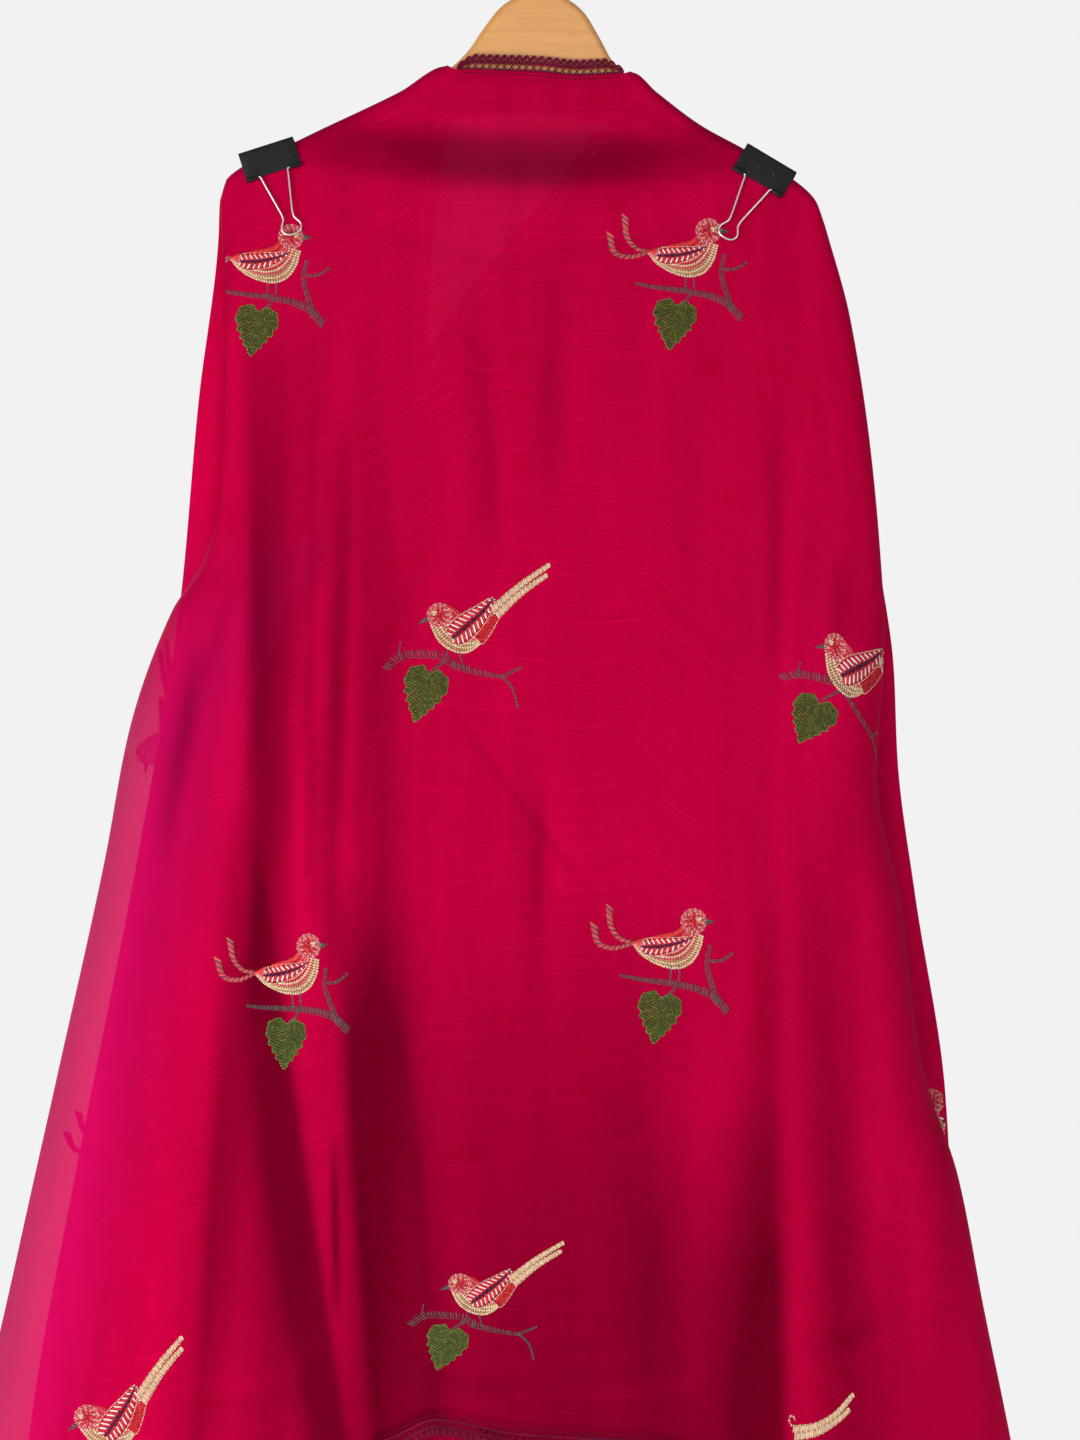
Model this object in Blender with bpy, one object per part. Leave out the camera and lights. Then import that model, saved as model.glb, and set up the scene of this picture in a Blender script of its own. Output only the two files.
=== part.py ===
"""Dupatta stole draped over a wooden hanger and held by two folded steel clips.

The cloth is one long rectangle with a lace edging along both long sides.  Its middle hangs on
the near side (-Y) of the hanger, it goes over both arms, and its two ends hang on the far side
(+Y).  Each side falls in a cascade: the near stretch turns at an outer crease, two layers run
in and out behind it, and the end turns at a second outer crease and runs in to its lace edge.

Frame: metres, +Z up, +X to the right as seen from the near side, with the origin where a rail
bears in the hanger's hook.  A level is a height in this frame, so levels are negative.
"""

import math
from dataclasses import dataclass
from typing import NamedTuple

import bmesh
import bpy
import numpy as np

# ---- cloth ---------------------------------------------------------------------------------
WALL = 0.001  # thickness of a cloth or lace wall
SEAM_GAP = 0.0003  # between two pieces that meet
CREASE_GAP = 0.0012  # between the middles of two stretches that meet round a crease
LACE_WIDTH = 0.012
WRAP_RISE = 0.0098  # drop over which the cloth turns from the top of an arm to its face
TURN_STEPS = 5  # columns round a crease
WRAP_STEPS = 4  # rows from the top of an arm to its face
NEAR_COLUMNS = 34  # between the two creases of the near stretch
NEAR_ROWS = 24
FOLD_STEPS = (0.0, 0.012, 0.035, 0.09, 0.22, 0.4, 0.6, 0.78, 0.91, 0.965, 0.988)  # across a layer
FOLD_ROWS = 13
END_COLUMNS = 16
END_ROWS = 20
FOLD_TOP = -0.275  # level where the inner folds start, below the arm's tip
SHOULDER = -0.2148  # level where the outer creases start
ROW_GRADING = 1.3  # above 1, rows lie closer near the top
CORNER_AT = 1.35  # place of the cloth's corner in the inner folds, from crease 0 to crease 2
LAYER_BULGE = 0.6  # how far an inner layer swings past a straight run between its creases
FOLD_FADE = 0.8  # power of the sine that fades a fold in and out: below 1 is fuller

# ---- hanger --------------------------------------------------------------------------------
HANGER_TILT = math.radians(3.15)  # it hangs a little down on the right
HANGER_HALF_LENGTH = 0.192
HANGER_THICKNESS = 0.014
HANGER_EDGE_ROUND = 0.005
HANGER_EDGE_SEGMENTS = 2
CROWN_TOP = -0.066
CROWN_RADIUS = 0.042  # of the bell's round top
CROWN_SWEEP = math.radians(58)  # how far round that runs on each side
BELL_FLARE = (  # how the bell spreads below its round top: (half width, level)
    (0.0432, -0.0974),
    (0.0510, -0.1104),
    (0.0590, -0.1198),
)
ROOT_X = 0.0667  # where an arm's top starts, past the bell
ARM_PEAK = -0.0890  # level where the straight tops of the two arms would meet
ARM_SLOPE = math.radians(29.75)
UNDERSIDE_LEVEL = -0.152  # lowest point of the body at its middle
UNDERSIDE_SLOPE = math.radians(20.5)
UNDERSIDE_SHARES = (0.35, 0.7)  # places of its points, from the tip in
TIP_ROUND = 0.009
WIRE_HOOK = 0.0038  # diameter of the hook's wire
HOOK_RADIUS = 0.018  # of its centre line
HOOK_JOIN_ANGLE = math.radians(-35)  # where the bend starts on its circle
HOOK_END_ANGLE = math.radians(205)
HOOK_STEM = 0.010
HOOK_PULLS = (0.009, 0.0126)  # handles of the curve from the stem to the bend

# ---- clips ---------------------------------------------------------------------------------
CLIP_WIDTH = 0.041
CLIP_FACE = 0.021  # from the spine to the axis of the rolled lip
CLIP_HALF_GAP = 0.01025  # from the middle to the middle of a face
CLIP_STEEL = 0.0005
CLIP_CORNER = 0.0020
ROLL_RADIUS = 0.00135  # middle of the rolled steel
ROLL_TURN = math.radians(280)
NOTCH_HALF = 0.0116  # half width of the gap in the rolled lip
NOTCH_REACH = 0.006  # size of the block that opens it, in depth and height
WIRE_HANDLE = 0.0015
HANDLE_LEG = 0.0103  # half distance between the legs at the lip
HANDLE_LEG_BEND = (0.0099, 0.0016)  # half distance and drop where a leg leaves its bend
HANDLE_LEG_MIDDLE = 0.6  # place of a leg's middle point, from the lip to the neck
HANDLE_LEG_SAG = 0.4  # share of the leg's spread that is left there
HANDLE_NECK = 0.0033
HANDLE_NECK_DROP = 0.034
HANDLE_LOOP = 0.0075
HANDLE_LOOP_DROP = 0.041
HANDLE_LENGTH = 0.0465
HANDLE_PIN = 0.0180  # half distance between the ends of the two pins
HANDLE_LEAN = math.radians(1.5)  # out from the cloth at rest


class Row(NamedTuple):
    """One row of a curve's table: a value at a place."""

    at: float
    value: float


class FoldRow(NamedTuple):
    """One soft trough (depth above 0) or ridge (below 0) in a hanging stretch."""

    top_x: float
    top_level: float
    low_x: float
    low_level: float
    half_width: float
    depth: float


def table(*rows):
    return tuple(Row(*row) for row in rows)


# Height of the cloth's top across the near stretch: (x, level)
NEAR_TOP = table(
    (-0.2362, -0.2148),
    (-0.2304, -0.1990),
    (-0.1786, -0.1716),
    (-0.1066, -0.1370),
    (-0.0735, -0.1187),
    (-0.0670, -0.1225),
    (-0.0060, -0.1250),
    (0.0200, -0.1275),
    (0.0545, -0.1255),
    (0.0610, -0.1232),
    (0.0778, -0.1370),
    (0.1094, -0.1608),
    (0.1418, -0.1788),
    (0.1814, -0.2040),
    (0.1922, -0.2148),
    (0.1994, -0.2328),
)
# How far the cloth has turned forward at its top, from 0 on an arm to 1 at the neck: (x, share)
NECK_TURN = table((-0.0735, 0.0), (-0.0670, 1.0), (0.0545, 1.0), (0.0610, 0.0))
# Lower edge of the near stretch: (x, level)
NEAR_HEM = table(
    (-0.4200, -1.1350),
    (-0.3000, -1.1260),
    (-0.1600, -1.1120),
    (-0.1111, -1.0939),
    (-0.0800, -1.0795),
    (-0.0180, -1.0890),
    (0.0687, -1.0939),
    (0.1400, -1.1080),
    (0.2500, -1.1200),
    (0.3400, -1.1300),
)
# Distance of the near face in front of the hanger's middle: (level, distance)
NEAR_REACH = table(
    (-0.1200, 0.0090),
    (-0.2350, 0.0090),
    (-0.3000, 0.0125),
    (-0.4500, 0.0220),
    (-0.6000, 0.0320),
    (-1.1500, 0.0560),
)
# The same for the far face of the ends
FAR_REACH = table(
    (-0.1200, 0.0090),
    (-0.2500, 0.0090),
    (-0.3500, 0.0160),
    (-0.6000, 0.0480),
    (-1.1000, 0.1000),
    (-1.3000, 0.1120),
)
# Extra distance of the right end where it laps behind the left one: shares by level and by x
LAP = 0.008
LAP_BY_LEVEL = table((-0.2400, 0.0), (-0.3200, 1.0))
LAP_BY_X = table((0.1050, 1.0), (0.1500, 0.0))
# Width over which a stretch turns into its crease: (level, width)
TURN_WIDTH = table(
    (-0.2000, 0.0090),
    (-0.2600, 0.0120),
    (-0.4500, 0.0300),
    (-0.7000, 0.0450),
    (-1.1500, 0.0650),
)
# Place of the three creases in depth: (level, y)
CREASE_0_Y = table((-0.2148, 0.0), (-0.2750, -0.0035), (-0.6000, -0.0060), (-1.3000, -0.0080))
CREASE_1_Y = table((-0.2148, 0.0), (-0.2750, 0.0000), (-0.6000, 0.0110), (-1.3000, 0.0300))
CREASE_2_Y = table((-0.2148, 0.0), (-0.2750, 0.0035), (-0.6000, 0.0240), (-1.3000, 0.0640))

NEAR_FOLDS = (
    FoldRow(-0.216, -0.34, -0.232, -0.62, 0.013, 0.008),
    FoldRow(-0.184, -0.29, -0.196, -0.68, 0.013, -0.006),
    FoldRow(-0.150, -0.28, -0.160, -0.74, 0.012, 0.007),
    FoldRow(-0.050, -0.26, -0.030, -0.50, 0.014, 0.003),
    FoldRow(0.012, -0.24, 0.006, -0.46, 0.013, 0.003),
    FoldRow(-0.010, -0.58, -0.002, -0.80, 0.015, 0.004),
    FoldRow(0.155, -0.46, 0.170, -1.40, 0.017, 0.011),
    FoldRow(0.205, -0.48, 0.222, -0.66, 0.016, -0.008),
    FoldRow(-0.105, -0.78, -0.128, -1.40, 0.024, 0.018),
    FoldRow(-0.222, -0.80, -0.290, -1.30, 0.020, 0.011),
    FoldRow(0.125, -0.86, 0.140, -1.40, 0.020, 0.012),
    FoldRow(0.240, -0.80, 0.262, -1.40, 0.024, -0.010),
    FoldRow(-0.175, -0.90, -0.200, -1.40, 0.022, -0.010),
)
# The two ends share these, so that they nest where they lap
FAR_FOLDS = (
    FoldRow(-0.250, -0.50, -0.290, -1.35, 0.024, 0.014),
    FoldRow(-0.175, -0.30, -0.190, -1.35, 0.018, -0.010),
    FoldRow(-0.105, -0.46, -0.100, -1.35, 0.020, 0.013),
    FoldRow(-0.045, -0.62, -0.030, -1.35, 0.018, -0.009),
    FoldRow(0.010, -0.34, 0.030, -1.10, 0.020, 0.008),
    FoldRow(0.130, -0.55, 0.125, -1.35, 0.017, 0.011),
    FoldRow(0.170, -0.30, 0.180, -1.35, 0.018, -0.010),
    FoldRow(0.215, -0.42, 0.235, -1.35, 0.020, 0.013),
)


@dataclass(frozen=True)
class Side:
    """The tables of one side of the cloth; inward is +1 where x grows towards the middle."""

    name: str
    inward: int
    crease_0: tuple  # near outer crease: (level, x)
    crease_1: tuple  # inner crease: (level, x)
    crease_2: tuple  # the arm's top and then the far outer crease: (level, x)
    lace: tuple  # the end's lace edge: (level, x)
    end_levels: tuple  # pairs: level at crease 2, level at the lace edge
    fold_hem: tuple  # lower edge of the inner folds: (crease number, level)
    lap: float  # how far its end stands off behind the other one


LEFT = Side(
    name="left",
    inward=1,
    crease_0=table(
        (-0.2148, -0.2362),
        (-0.3084, -0.2318),
        (-0.4236, -0.2347),
        (-0.4740, -0.2470),
        (-0.5120, -0.2705),
        (-0.5950, -0.3002),
        (-0.6900, -0.3182),
        (-0.8412, -0.3514),
        (-0.9708, -0.3802),
        (-1.1508, -0.4183),
        (-1.3500, -0.4450),
    ),
    crease_1=table(
        (-0.2750, -0.2050), (-0.4500, -0.1650), (-0.7000, -0.1150), (-0.9500, -0.0650), (-1.3500, -0.0300)
    ),
    crease_2=table(
        (-0.1187, -0.0735),
        (-0.1370, -0.1066),
        (-0.1716, -0.1786),
        (-0.1990, -0.2304),
        (-0.2148, -0.2362),
        (-0.2436, -0.2376),
        (-0.3588, -0.2527),
        (-0.5028, -0.2671),
        (-0.6878, -0.2995),
        (-0.9175, -0.3463),
        (-1.1054, -0.3816),
        (-1.3500, -0.4080),
    ),
    lace=table(
        (-0.1187, -0.0735),
        (-0.1400, -0.0790),
        (-0.2000, -0.0900),
        (-0.3000, -0.0990),
        (-0.4200, -0.0990),
        (-0.5200, -0.0880),
        (-0.5890, -0.0698),
        (-0.6612, -0.0245),
        (-0.7274, 0.0200),
        (-0.8000, 0.0560),
        (-0.9348, 0.0790),
        (-1.1200, 0.0850),
    ),
    end_levels=(
        (-0.1200, -0.1320),
        (-0.1370, -0.1800),
        (-0.1622, -0.2380),
        (-0.1856, -0.2900),
        (-0.2040, -0.3300),
        (-0.2400, -0.3750),
        (-0.3000, -0.4200),
        (-0.3800, -0.4750),
        (-0.4800, -0.5450),
        (-0.6000, -0.6300),
        (-0.7300, -0.7250),
        (-0.8600, -0.8250),
        (-0.9900, -0.9200),
        (-1.1200, -1.0200),
        (-1.2300, -1.1200),
    ),
    fold_hem=table((0.0, -1.1350), (1.0, -1.2400), (CORNER_AT, -1.3100), (2.0, -1.2300)),
    lap=0.0,
)

RIGHT = Side(
    name="right",
    inward=-1,
    crease_0=table(
        (-0.2328, 0.1994),
        (-0.3012, 0.2174),
        (-0.3948, 0.2318),
        (-0.4740, 0.2390),
        (-0.5266, 0.2419),
        (-0.6324, 0.2362),
        (-0.7181, 0.2527),
        (-0.8347, 0.2680),
        (-0.9175, 0.2945),
        (-1.0025, 0.3110),
        (-1.1508, 0.3398),
        (-1.3500, 0.3640),
    ),
    crease_1=table(
        (-0.2750, 0.1650), (-0.4500, 0.1350), (-0.7000, 0.1050), (-0.9500, 0.0850), (-1.3500, 0.0750)
    ),
    crease_2=table(
        (-0.1232, 0.0610),
        (-0.1370, 0.0778),
        (-0.1608, 0.1094),
        (-0.2040, 0.1814),
        (-0.2148, 0.1922),
        (-0.2328, 0.1994),
        (-0.3012, 0.2130),
        (-0.4740, 0.2400),
        (-0.5510, 0.2515),
        (-0.6187, 0.2549),
        (-0.7181, 0.2686),
        (-0.8606, 0.2915),
        (-1.0025, 0.3000),
        (-1.1076, 0.3074),
        (-1.3500, 0.3250),
    ),
    lace=table(
        (-0.1232, 0.0610),
        (-0.1500, 0.0520),
        (-0.1900, 0.0300),
        (-0.2600, -0.0280),
        (-0.3400, -0.0850),
        (-0.4200, -0.1150),
        (-0.5500, -0.1240),
        (-0.7500, -0.1120),
        (-0.9500, -0.0960),
        (-1.1250, -0.0900),
    ),
    end_levels=(
        (-0.1245, -0.1380),
        (-0.1370, -0.1900),
        (-0.1608, -0.2500),
        (-0.1840, -0.3050),
        (-0.2060, -0.3550),
        (-0.2450, -0.4050),
        (-0.3000, -0.4550),
        (-0.3800, -0.5200),
        (-0.4800, -0.5950),
        (-0.6000, -0.6800),
        (-0.7300, -0.7700),
        (-0.8600, -0.8600),
        (-0.9900, -0.9500),
        (-1.1000, -1.0350),
        (-1.2100, -1.1250),
    ),
    fold_hem=table((0.0, -1.1300), (1.0, -1.2300), (CORNER_AT, -1.2950), (2.0, -1.2100)),
    lap=LAP,
)


# ---- curves and materials ------------------------------------------------------------------
def along(rows, at):
    """Smooth curve through a table's rows that never overshoots them (monotone cubic)."""
    at = np.asarray(at, float)
    order = sorted(rows)
    places = np.array([row.at for row in order])
    values = np.array([row.value for row in order])
    steps = np.diff(places)
    slopes = np.diff(values) / steps
    inner = np.zeros(len(slopes) - 1)
    same = slopes[:-1] * slopes[1:] > 0
    inner[same] = 2 / (1 / slopes[:-1][same] + 1 / slopes[1:][same])
    tangents = np.concatenate([[slopes[0]], inner, [slopes[-1]]])
    at = np.clip(at, places[0], places[-1])
    i = np.clip(np.searchsorted(places, at) - 1, 0, len(steps) - 1)
    t = (at - places[i]) / steps[i]
    rise = t * t * (3 - 2 * t)
    return (
        values[i] * (1 - rise)
        + values[i + 1] * rise
        + steps[i] * t * (1 - t) * ((1 - t) * tangents[i] - t * tangents[i + 1])
    )


def quarter(share):
    """Height of a quarter circle from its rim (0) to its top (1)."""
    share = np.clip(share, 0, 1)
    return np.sqrt(1 - (1 - share) ** 2)


def turn_steps(count):
    """Places across a turn, at equal angles round it."""
    angles = np.linspace(0, math.pi / 2, count + 1)
    return 1 - np.cos(angles)


def finish(name, colour, roughness, metallic=0.0):
    material = bpy.data.materials.new(name)
    material.use_nodes = True
    shader = material.node_tree.nodes["Principled BSDF"]
    shader.inputs["Base Color"].default_value = (*colour, 1.0)
    shader.inputs["Roughness"].default_value = roughness
    shader.inputs["Metallic"].default_value = metallic
    return material


def clear_scene():
    for thing in list(bpy.data.objects):
        bpy.data.objects.remove(thing, do_unlink=True)


def link(name, data, material):
    thing = bpy.data.objects.new(name, data)
    data.materials.append(material)
    bpy.context.scene.collection.objects.link(thing)
    return thing


def wall(name, grid, material):
    """A thin closed wall round a grid of points, rows by columns."""
    rows, columns = grid.shape[:2]
    mesh = bpy.data.meshes.new(name)
    build = bmesh.new()
    points = [[build.verts.new(grid[i, j]) for j in range(columns)] for i in range(rows)]
    for i in range(rows - 1):
        for j in range(columns - 1):
            build.faces.new(
                (points[i][j], points[i + 1][j], points[i + 1][j + 1], points[i][j + 1])
            )
    build.to_mesh(mesh)
    build.free()
    mesh.shade_smooth()
    thing = link(name, mesh, material)
    shell = thing.modifiers.new("Wall", "SOLIDIFY")
    shell.thickness = WALL
    shell.offset = 0.0
    shell.use_quality_normals = True
    return thing


# ---- cloth ---------------------------------------------------------------------------------
def folded(folds, x, level):
    """Depth that the soft folds add at a place: each fades in and out along its line."""
    total = np.zeros(np.broadcast(x, level).shape)
    for fold in folds:
        share = np.clip((fold.top_level - level) / (fold.top_level - fold.low_level), 0, 1)
        middle = fold.top_x + (fold.low_x - fold.top_x) * share
        fade = np.sin(math.pi * share) ** FOLD_FADE
        total = total + fold.depth * fade * np.exp(-(((x - middle) / fold.half_width) ** 2))
    return total


def near_depth(x, level):
    """y of the near stretch: round the creases, over the arms, and its own folds."""
    left = along(LEFT.crease_0, level)
    right = along(RIGHT.crease_0, level)
    inside = np.minimum(x - left, right - x)
    turned = quarter(inside / along(TURN_WIDTH, level))
    below_top = along(NEAR_TOP, x) - level
    over = quarter(below_top / WRAP_RISE + along(NECK_TURN, x))
    edge = along(CREASE_0_Y, level) - CREASE_GAP / 2
    face = -along(NEAR_REACH, level) + folded(NEAR_FOLDS, x, level)
    return edge + (face - edge) * turned * over


def near_grid():
    steps = turn_steps(TURN_STEPS)
    middle = np.linspace(0, 1, NEAR_COLUMNS + 1)[1:-1]

    def across(level):
        left = along(LEFT.crease_0, level)
        right = along(RIGHT.crease_0, level)
        turn = along(TURN_WIDTH, level)
        inner = left + turn + (right - left - 2 * turn) * middle
        return np.concatenate([left + turn * steps, inner, (right - turn * steps)[::-1]])

    top_x = across(SHOULDER)
    tops = along(NEAR_TOP, top_x)
    hems = along(NEAR_HEM, across(NEAR_HEM[0].value))
    wrap = WRAP_RISE * turn_steps(WRAP_STEPS)
    hang = np.linspace(0, 1, NEAR_ROWS)[1:] ** ROW_GRADING
    grid = np.zeros((len(wrap) + len(hang), len(top_x), 3))
    for j in range(len(top_x)):
        drop = tops[j] - hems[j]
        levels = tops[j] - np.concatenate([wrap, WRAP_RISE + (drop - WRAP_RISE) * hang])
        x = np.array([across(level)[j] for level in levels])
        grid[:, j] = np.stack([x, near_depth(x, levels), levels], axis=1)
    return grid


def fold_grid(side):
    """The two inner layers: from crease 0 in to crease 1 and out again to crease 2."""
    places = np.array([*FOLD_STEPS, *(1 + step for step in FOLD_STEPS), 2.0])
    down = np.linspace(0, 1, FOLD_ROWS)
    grid = np.zeros((FOLD_ROWS, len(places), 3))
    hems = along(side.fold_hem, places)
    for j, place in enumerate(places):
        levels = FOLD_TOP + (hems[j] - FOLD_TOP) * down
        share = place if place <= 1 else place - 1
        ends = (side.crease_0, side.crease_1) if place <= 1 else (side.crease_1, side.crease_2)
        depths = (CREASE_0_Y, CREASE_1_Y) if place <= 1 else (CREASE_1_Y, CREASE_2_Y)
        swing = (1 - math.cos(math.pi * share)) / 2
        sweep = share + LAYER_BULGE * math.sin(2 * math.pi * share) / (2 * math.pi)
        first, last = (along(end, levels) for end in ends)
        near, far = (along(depth, levels) for depth in depths)
        seam = CREASE_GAP / 2 * (float(place == 0) - float(place == 2.0))
        grid[:, j, 0] = first + (last - first) * swing
        grid[:, j, 1] = near + (far - near) * sweep + seam
        grid[:, j, 2] = levels
    return grid


def end_depth(side, x, level, inside, below_top):
    """y of an end: over the arm, round its crease, and its own folds."""
    turned = quarter(inside / along(TURN_WIDTH, level))
    over = quarter(below_top / WRAP_RISE)
    edge = along(CREASE_2_Y, level) + CREASE_GAP / 2
    lap = side.lap * along(LAP_BY_LEVEL, level) * along(LAP_BY_X, x)
    face = along(FAR_REACH, level) + folded(FAR_FOLDS, x, level) + lap
    return edge + (face - edge) * turned * over


def end_grid(side):
    outer = np.array([pair[0] for pair in side.end_levels])
    inner = np.array([pair[1] for pair in side.end_levels])
    places = np.arange(len(outer), dtype=float)
    wanted = np.linspace(0, len(outer) - 1, END_ROWS)
    outer = along([Row(*pair) for pair in zip(places, outer)], wanted)
    inner = along([Row(*pair) for pair in zip(places, inner)], wanted)
    shoulder = max(row.at for row in side.crease_0)
    shoulder_x = along(side.crease_2, shoulder)
    ridge = [Row(row.value, row.at) for row in side.crease_2 if row.at >= shoulder]
    grid = np.zeros((END_ROWS, TURN_STEPS + END_COLUMNS, 3))
    for i in range(END_ROWS):
        start = np.array([along(side.crease_2, outer[i]), outer[i]])
        stop = np.array([along(side.lace, inner[i]), inner[i]])
        length = float(np.hypot(*(stop - start)))
        turn = min(along(TURN_WIDTH, outer[i]) if outer[i] < shoulder else WRAP_RISE, 0.6 * length)
        steps = turn / length * turn_steps(TURN_STEPS)
        places = np.concatenate([steps, np.linspace(steps[-1], 1, END_COLUMNS)[1:]])
        points = start + (stop - start) * places[:, None]
        x, level = points[:, 0], points[:, 1]
        inside = side.inward * (x - along(side.crease_2, np.minimum(level, shoulder)))
        past_tip = side.inward * (x - shoulder_x) < 0
        below = np.where(past_tip, WRAP_RISE, along(ridge, x) - level)
        inside = np.where(level > shoulder, np.maximum(inside, side.inward * (x - shoulder_x)), inside)
        grid[i, :, 0] = x
        grid[i, :, 1] = end_depth(side, x, level, inside, below)
        grid[i, :, 2] = level
    return grid


def edging(edge, behind):
    """A lace band that goes on from an edge, square to it and away from the points behind it."""
    run = np.gradient(edge, axis=0)
    run /= np.linalg.norm(run, axis=1)[:, None]
    out = edge - behind
    out -= run * np.sum(out * run, axis=1)[:, None]
    out /= np.linalg.norm(out, axis=1)[:, None]
    return np.stack([edge + out * (2 * SEAM_GAP + LACE_WIDTH * share) for share in (0.0, 0.5, 1.0)])


def build_cloth():
    silk = finish("silk", (0.42, 0.002, 0.06), 0.45)
    thread = finish("lace_thread", (0.20, 0.002, 0.03), 0.75)
    near = near_grid()
    wall("front_fall", near, silk)
    wall("front_hem_lace", edging(near[-1], near[-2]), thread)
    neck = along(NECK_TURN, near[0, :, 0]) > 0.99
    wall("neck_lace", edging(near[0, neck], near[1, neck]), thread)
    for side in (LEFT, RIGHT):
        folds = fold_grid(side)
        end = end_grid(side)
        wall(f"{side.name}_folds", folds, silk)
        wall(f"{side.name}_end", end, silk)
        wall(f"{side.name}_end_lace", edging(end[:, -1], end[:, -2]), thread)
        hem = slice(2, len(FOLD_STEPS) + sum(step < CORNER_AT - 1 for step in FOLD_STEPS) + 1)
        wall(f"{side.name}_folds_lace", edging(folds[-1, hem], folds[-2, hem]), thread)


# ---- hanger --------------------------------------------------------------------------------
def hanger_outline():
    """Right half of the body's outline, from the crown's middle to the underside's middle."""
    points = []
    for angle in np.linspace(0, CROWN_SWEEP, 8):
        drop = CROWN_RADIUS * (1 - math.cos(angle))
        points.append((CROWN_RADIUS * math.sin(angle), CROWN_TOP - drop))
    points.extend(BELL_FLARE)
    points.append((ROOT_X, ARM_PEAK - ROOT_X * math.tan(ARM_SLOPE)))
    reach = HANGER_HALF_LENGTH - TIP_ROUND
    top = ARM_PEAK - reach * math.tan(ARM_SLOPE)
    centre = (reach, top - TIP_ROUND / math.cos(ARM_SLOPE))
    for angle in np.linspace(math.pi / 2 - ARM_SLOPE, -math.pi / 2 - UNDERSIDE_SLOPE, 9):
        points.append(
            (centre[0] + TIP_ROUND * math.cos(angle), centre[1] + TIP_ROUND * math.sin(angle))
        )
    low_x, low_level = points[-1]
    for share in UNDERSIDE_SHARES:
        rise = (UNDERSIDE_LEVEL - low_level) * math.sin(share * math.pi / 2)
        points.append((low_x * (1 - share), low_level + rise))
    points.append((0.0, UNDERSIDE_LEVEL))
    return points


def build_hanger():
    wood = finish("wood", (0.62, 0.33, 0.11), 0.4)
    steel = finish("steel", (0.62, 0.62, 0.62), 0.3, 1.0)
    half = hanger_outline()
    outline = half + [(-x, level) for x, level in half[-2:0:-1]]
    mesh = bpy.data.meshes.new("hanger_body")
    build = bmesh.new()
    front = build.faces.new(
        [build.verts.new((x, -HANGER_THICKNESS / 2, level)) for x, level in outline]
    )
    pushed = bmesh.ops.extrude_face_region(build, geom=[front])["geom"]
    moved = [item for item in pushed if isinstance(item, bmesh.types.BMVert)]
    bmesh.ops.translate(build, verts=moved, vec=(0, HANGER_THICKNESS, 0))
    bmesh.ops.recalc_face_normals(build, faces=build.faces)
    build.to_mesh(mesh)
    build.free()
    body = link("hanger_body", mesh, wood)
    body.rotation_euler = (0, HANGER_TILT, 0)
    rounding = body.modifiers.new("Edges", "BEVEL")
    rounding.width = HANGER_EDGE_ROUND
    rounding.segments = HANGER_EDGE_SEGMENTS
    rounding.limit_method = "ANGLE"
    rounding.angle_limit = math.radians(60)
    hook = wire("hanger_hook", hook_route(), WIRE_HOOK, 2, steel)
    hook.rotation_euler = (0, HANGER_TILT, 0)


def hook_route():
    """Up out of the crown, out to the right and round over the rail."""
    centre = WIRE_HOOK / 2 - HOOK_RADIUS
    base = CROWN_TOP + 2 * SEAM_GAP
    start = np.array([0.0, base + HOOK_STEM])
    join = HOOK_RADIUS * np.array([math.cos(HOOK_JOIN_ANGLE), math.sin(HOOK_JOIN_ANGLE)])
    meet = join + np.array([0.0, centre])
    heading = np.array([-math.sin(HOOK_JOIN_ANGLE), math.cos(HOOK_JOIN_ANGLE)])
    leave = start + np.array([0.0, HOOK_PULLS[0]])
    arrive = meet - heading * HOOK_PULLS[1]
    route = [(0.0, base), (0.0, base + HOOK_STEM / 2)]
    for t in np.linspace(0, 1, 6)[:-1]:
        u = 1 - t
        route.append(tuple(u**3 * start + 3 * u * u * t * leave + 3 * u * t * t * arrive + t**3 * meet))
    for angle in np.linspace(HOOK_JOIN_ANGLE, HOOK_END_ANGLE, 18):
        route.append((HOOK_RADIUS * math.cos(angle), centre + HOOK_RADIUS * math.sin(angle)))
    return [(x, 0.0, level) for x, level in route]


def wire(name, route, diameter, roundness, material):
    curve = bpy.data.curves.new(name, "CURVE")
    curve.dimensions = "3D"
    spline = curve.splines.new("POLY")
    spline.points.add(len(route) - 1)
    for point, place in zip(spline.points, route):
        point.co = (*place, 1.0)
    curve.bevel_depth = diameter / 2
    curve.bevel_resolution = roundness
    curve.use_fill_caps = True
    return link(name, curve, material)


# ---- clips ---------------------------------------------------------------------------------
@dataclass(frozen=True)
class Clip:
    """A folded steel clip: the middle of its spine's top, and its turn about Y."""

    name: str
    x: float
    level: float
    turn: float


CLIPS = (
    Clip("left_clip", -0.2027, -0.1770, math.radians(-17.8)),
    Clip("right_clip", 0.1609, -0.1860, math.radians(30.8)),
)


def clip_midline():
    """Middle of the folded steel, from the near roll over the spine to the far roll, in y and z."""
    near = []
    for angle in np.linspace(-ROLL_TURN, 0, 15):
        near.append(
            (
                -CLIP_HALF_GAP - ROLL_RADIUS + ROLL_RADIUS * math.cos(angle),
                -CLIP_FACE + ROLL_RADIUS * math.sin(angle),
            )
        )
    for angle in np.linspace(math.pi, math.pi / 2, 4):
        near.append(
            (
                -CLIP_HALF_GAP + CLIP_CORNER + CLIP_CORNER * math.cos(angle),
                -CLIP_STEEL / 2 - CLIP_CORNER + CLIP_CORNER * math.sin(angle),
            )
        )
    return near + [(-y, z) for y, z in reversed(near)]


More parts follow.
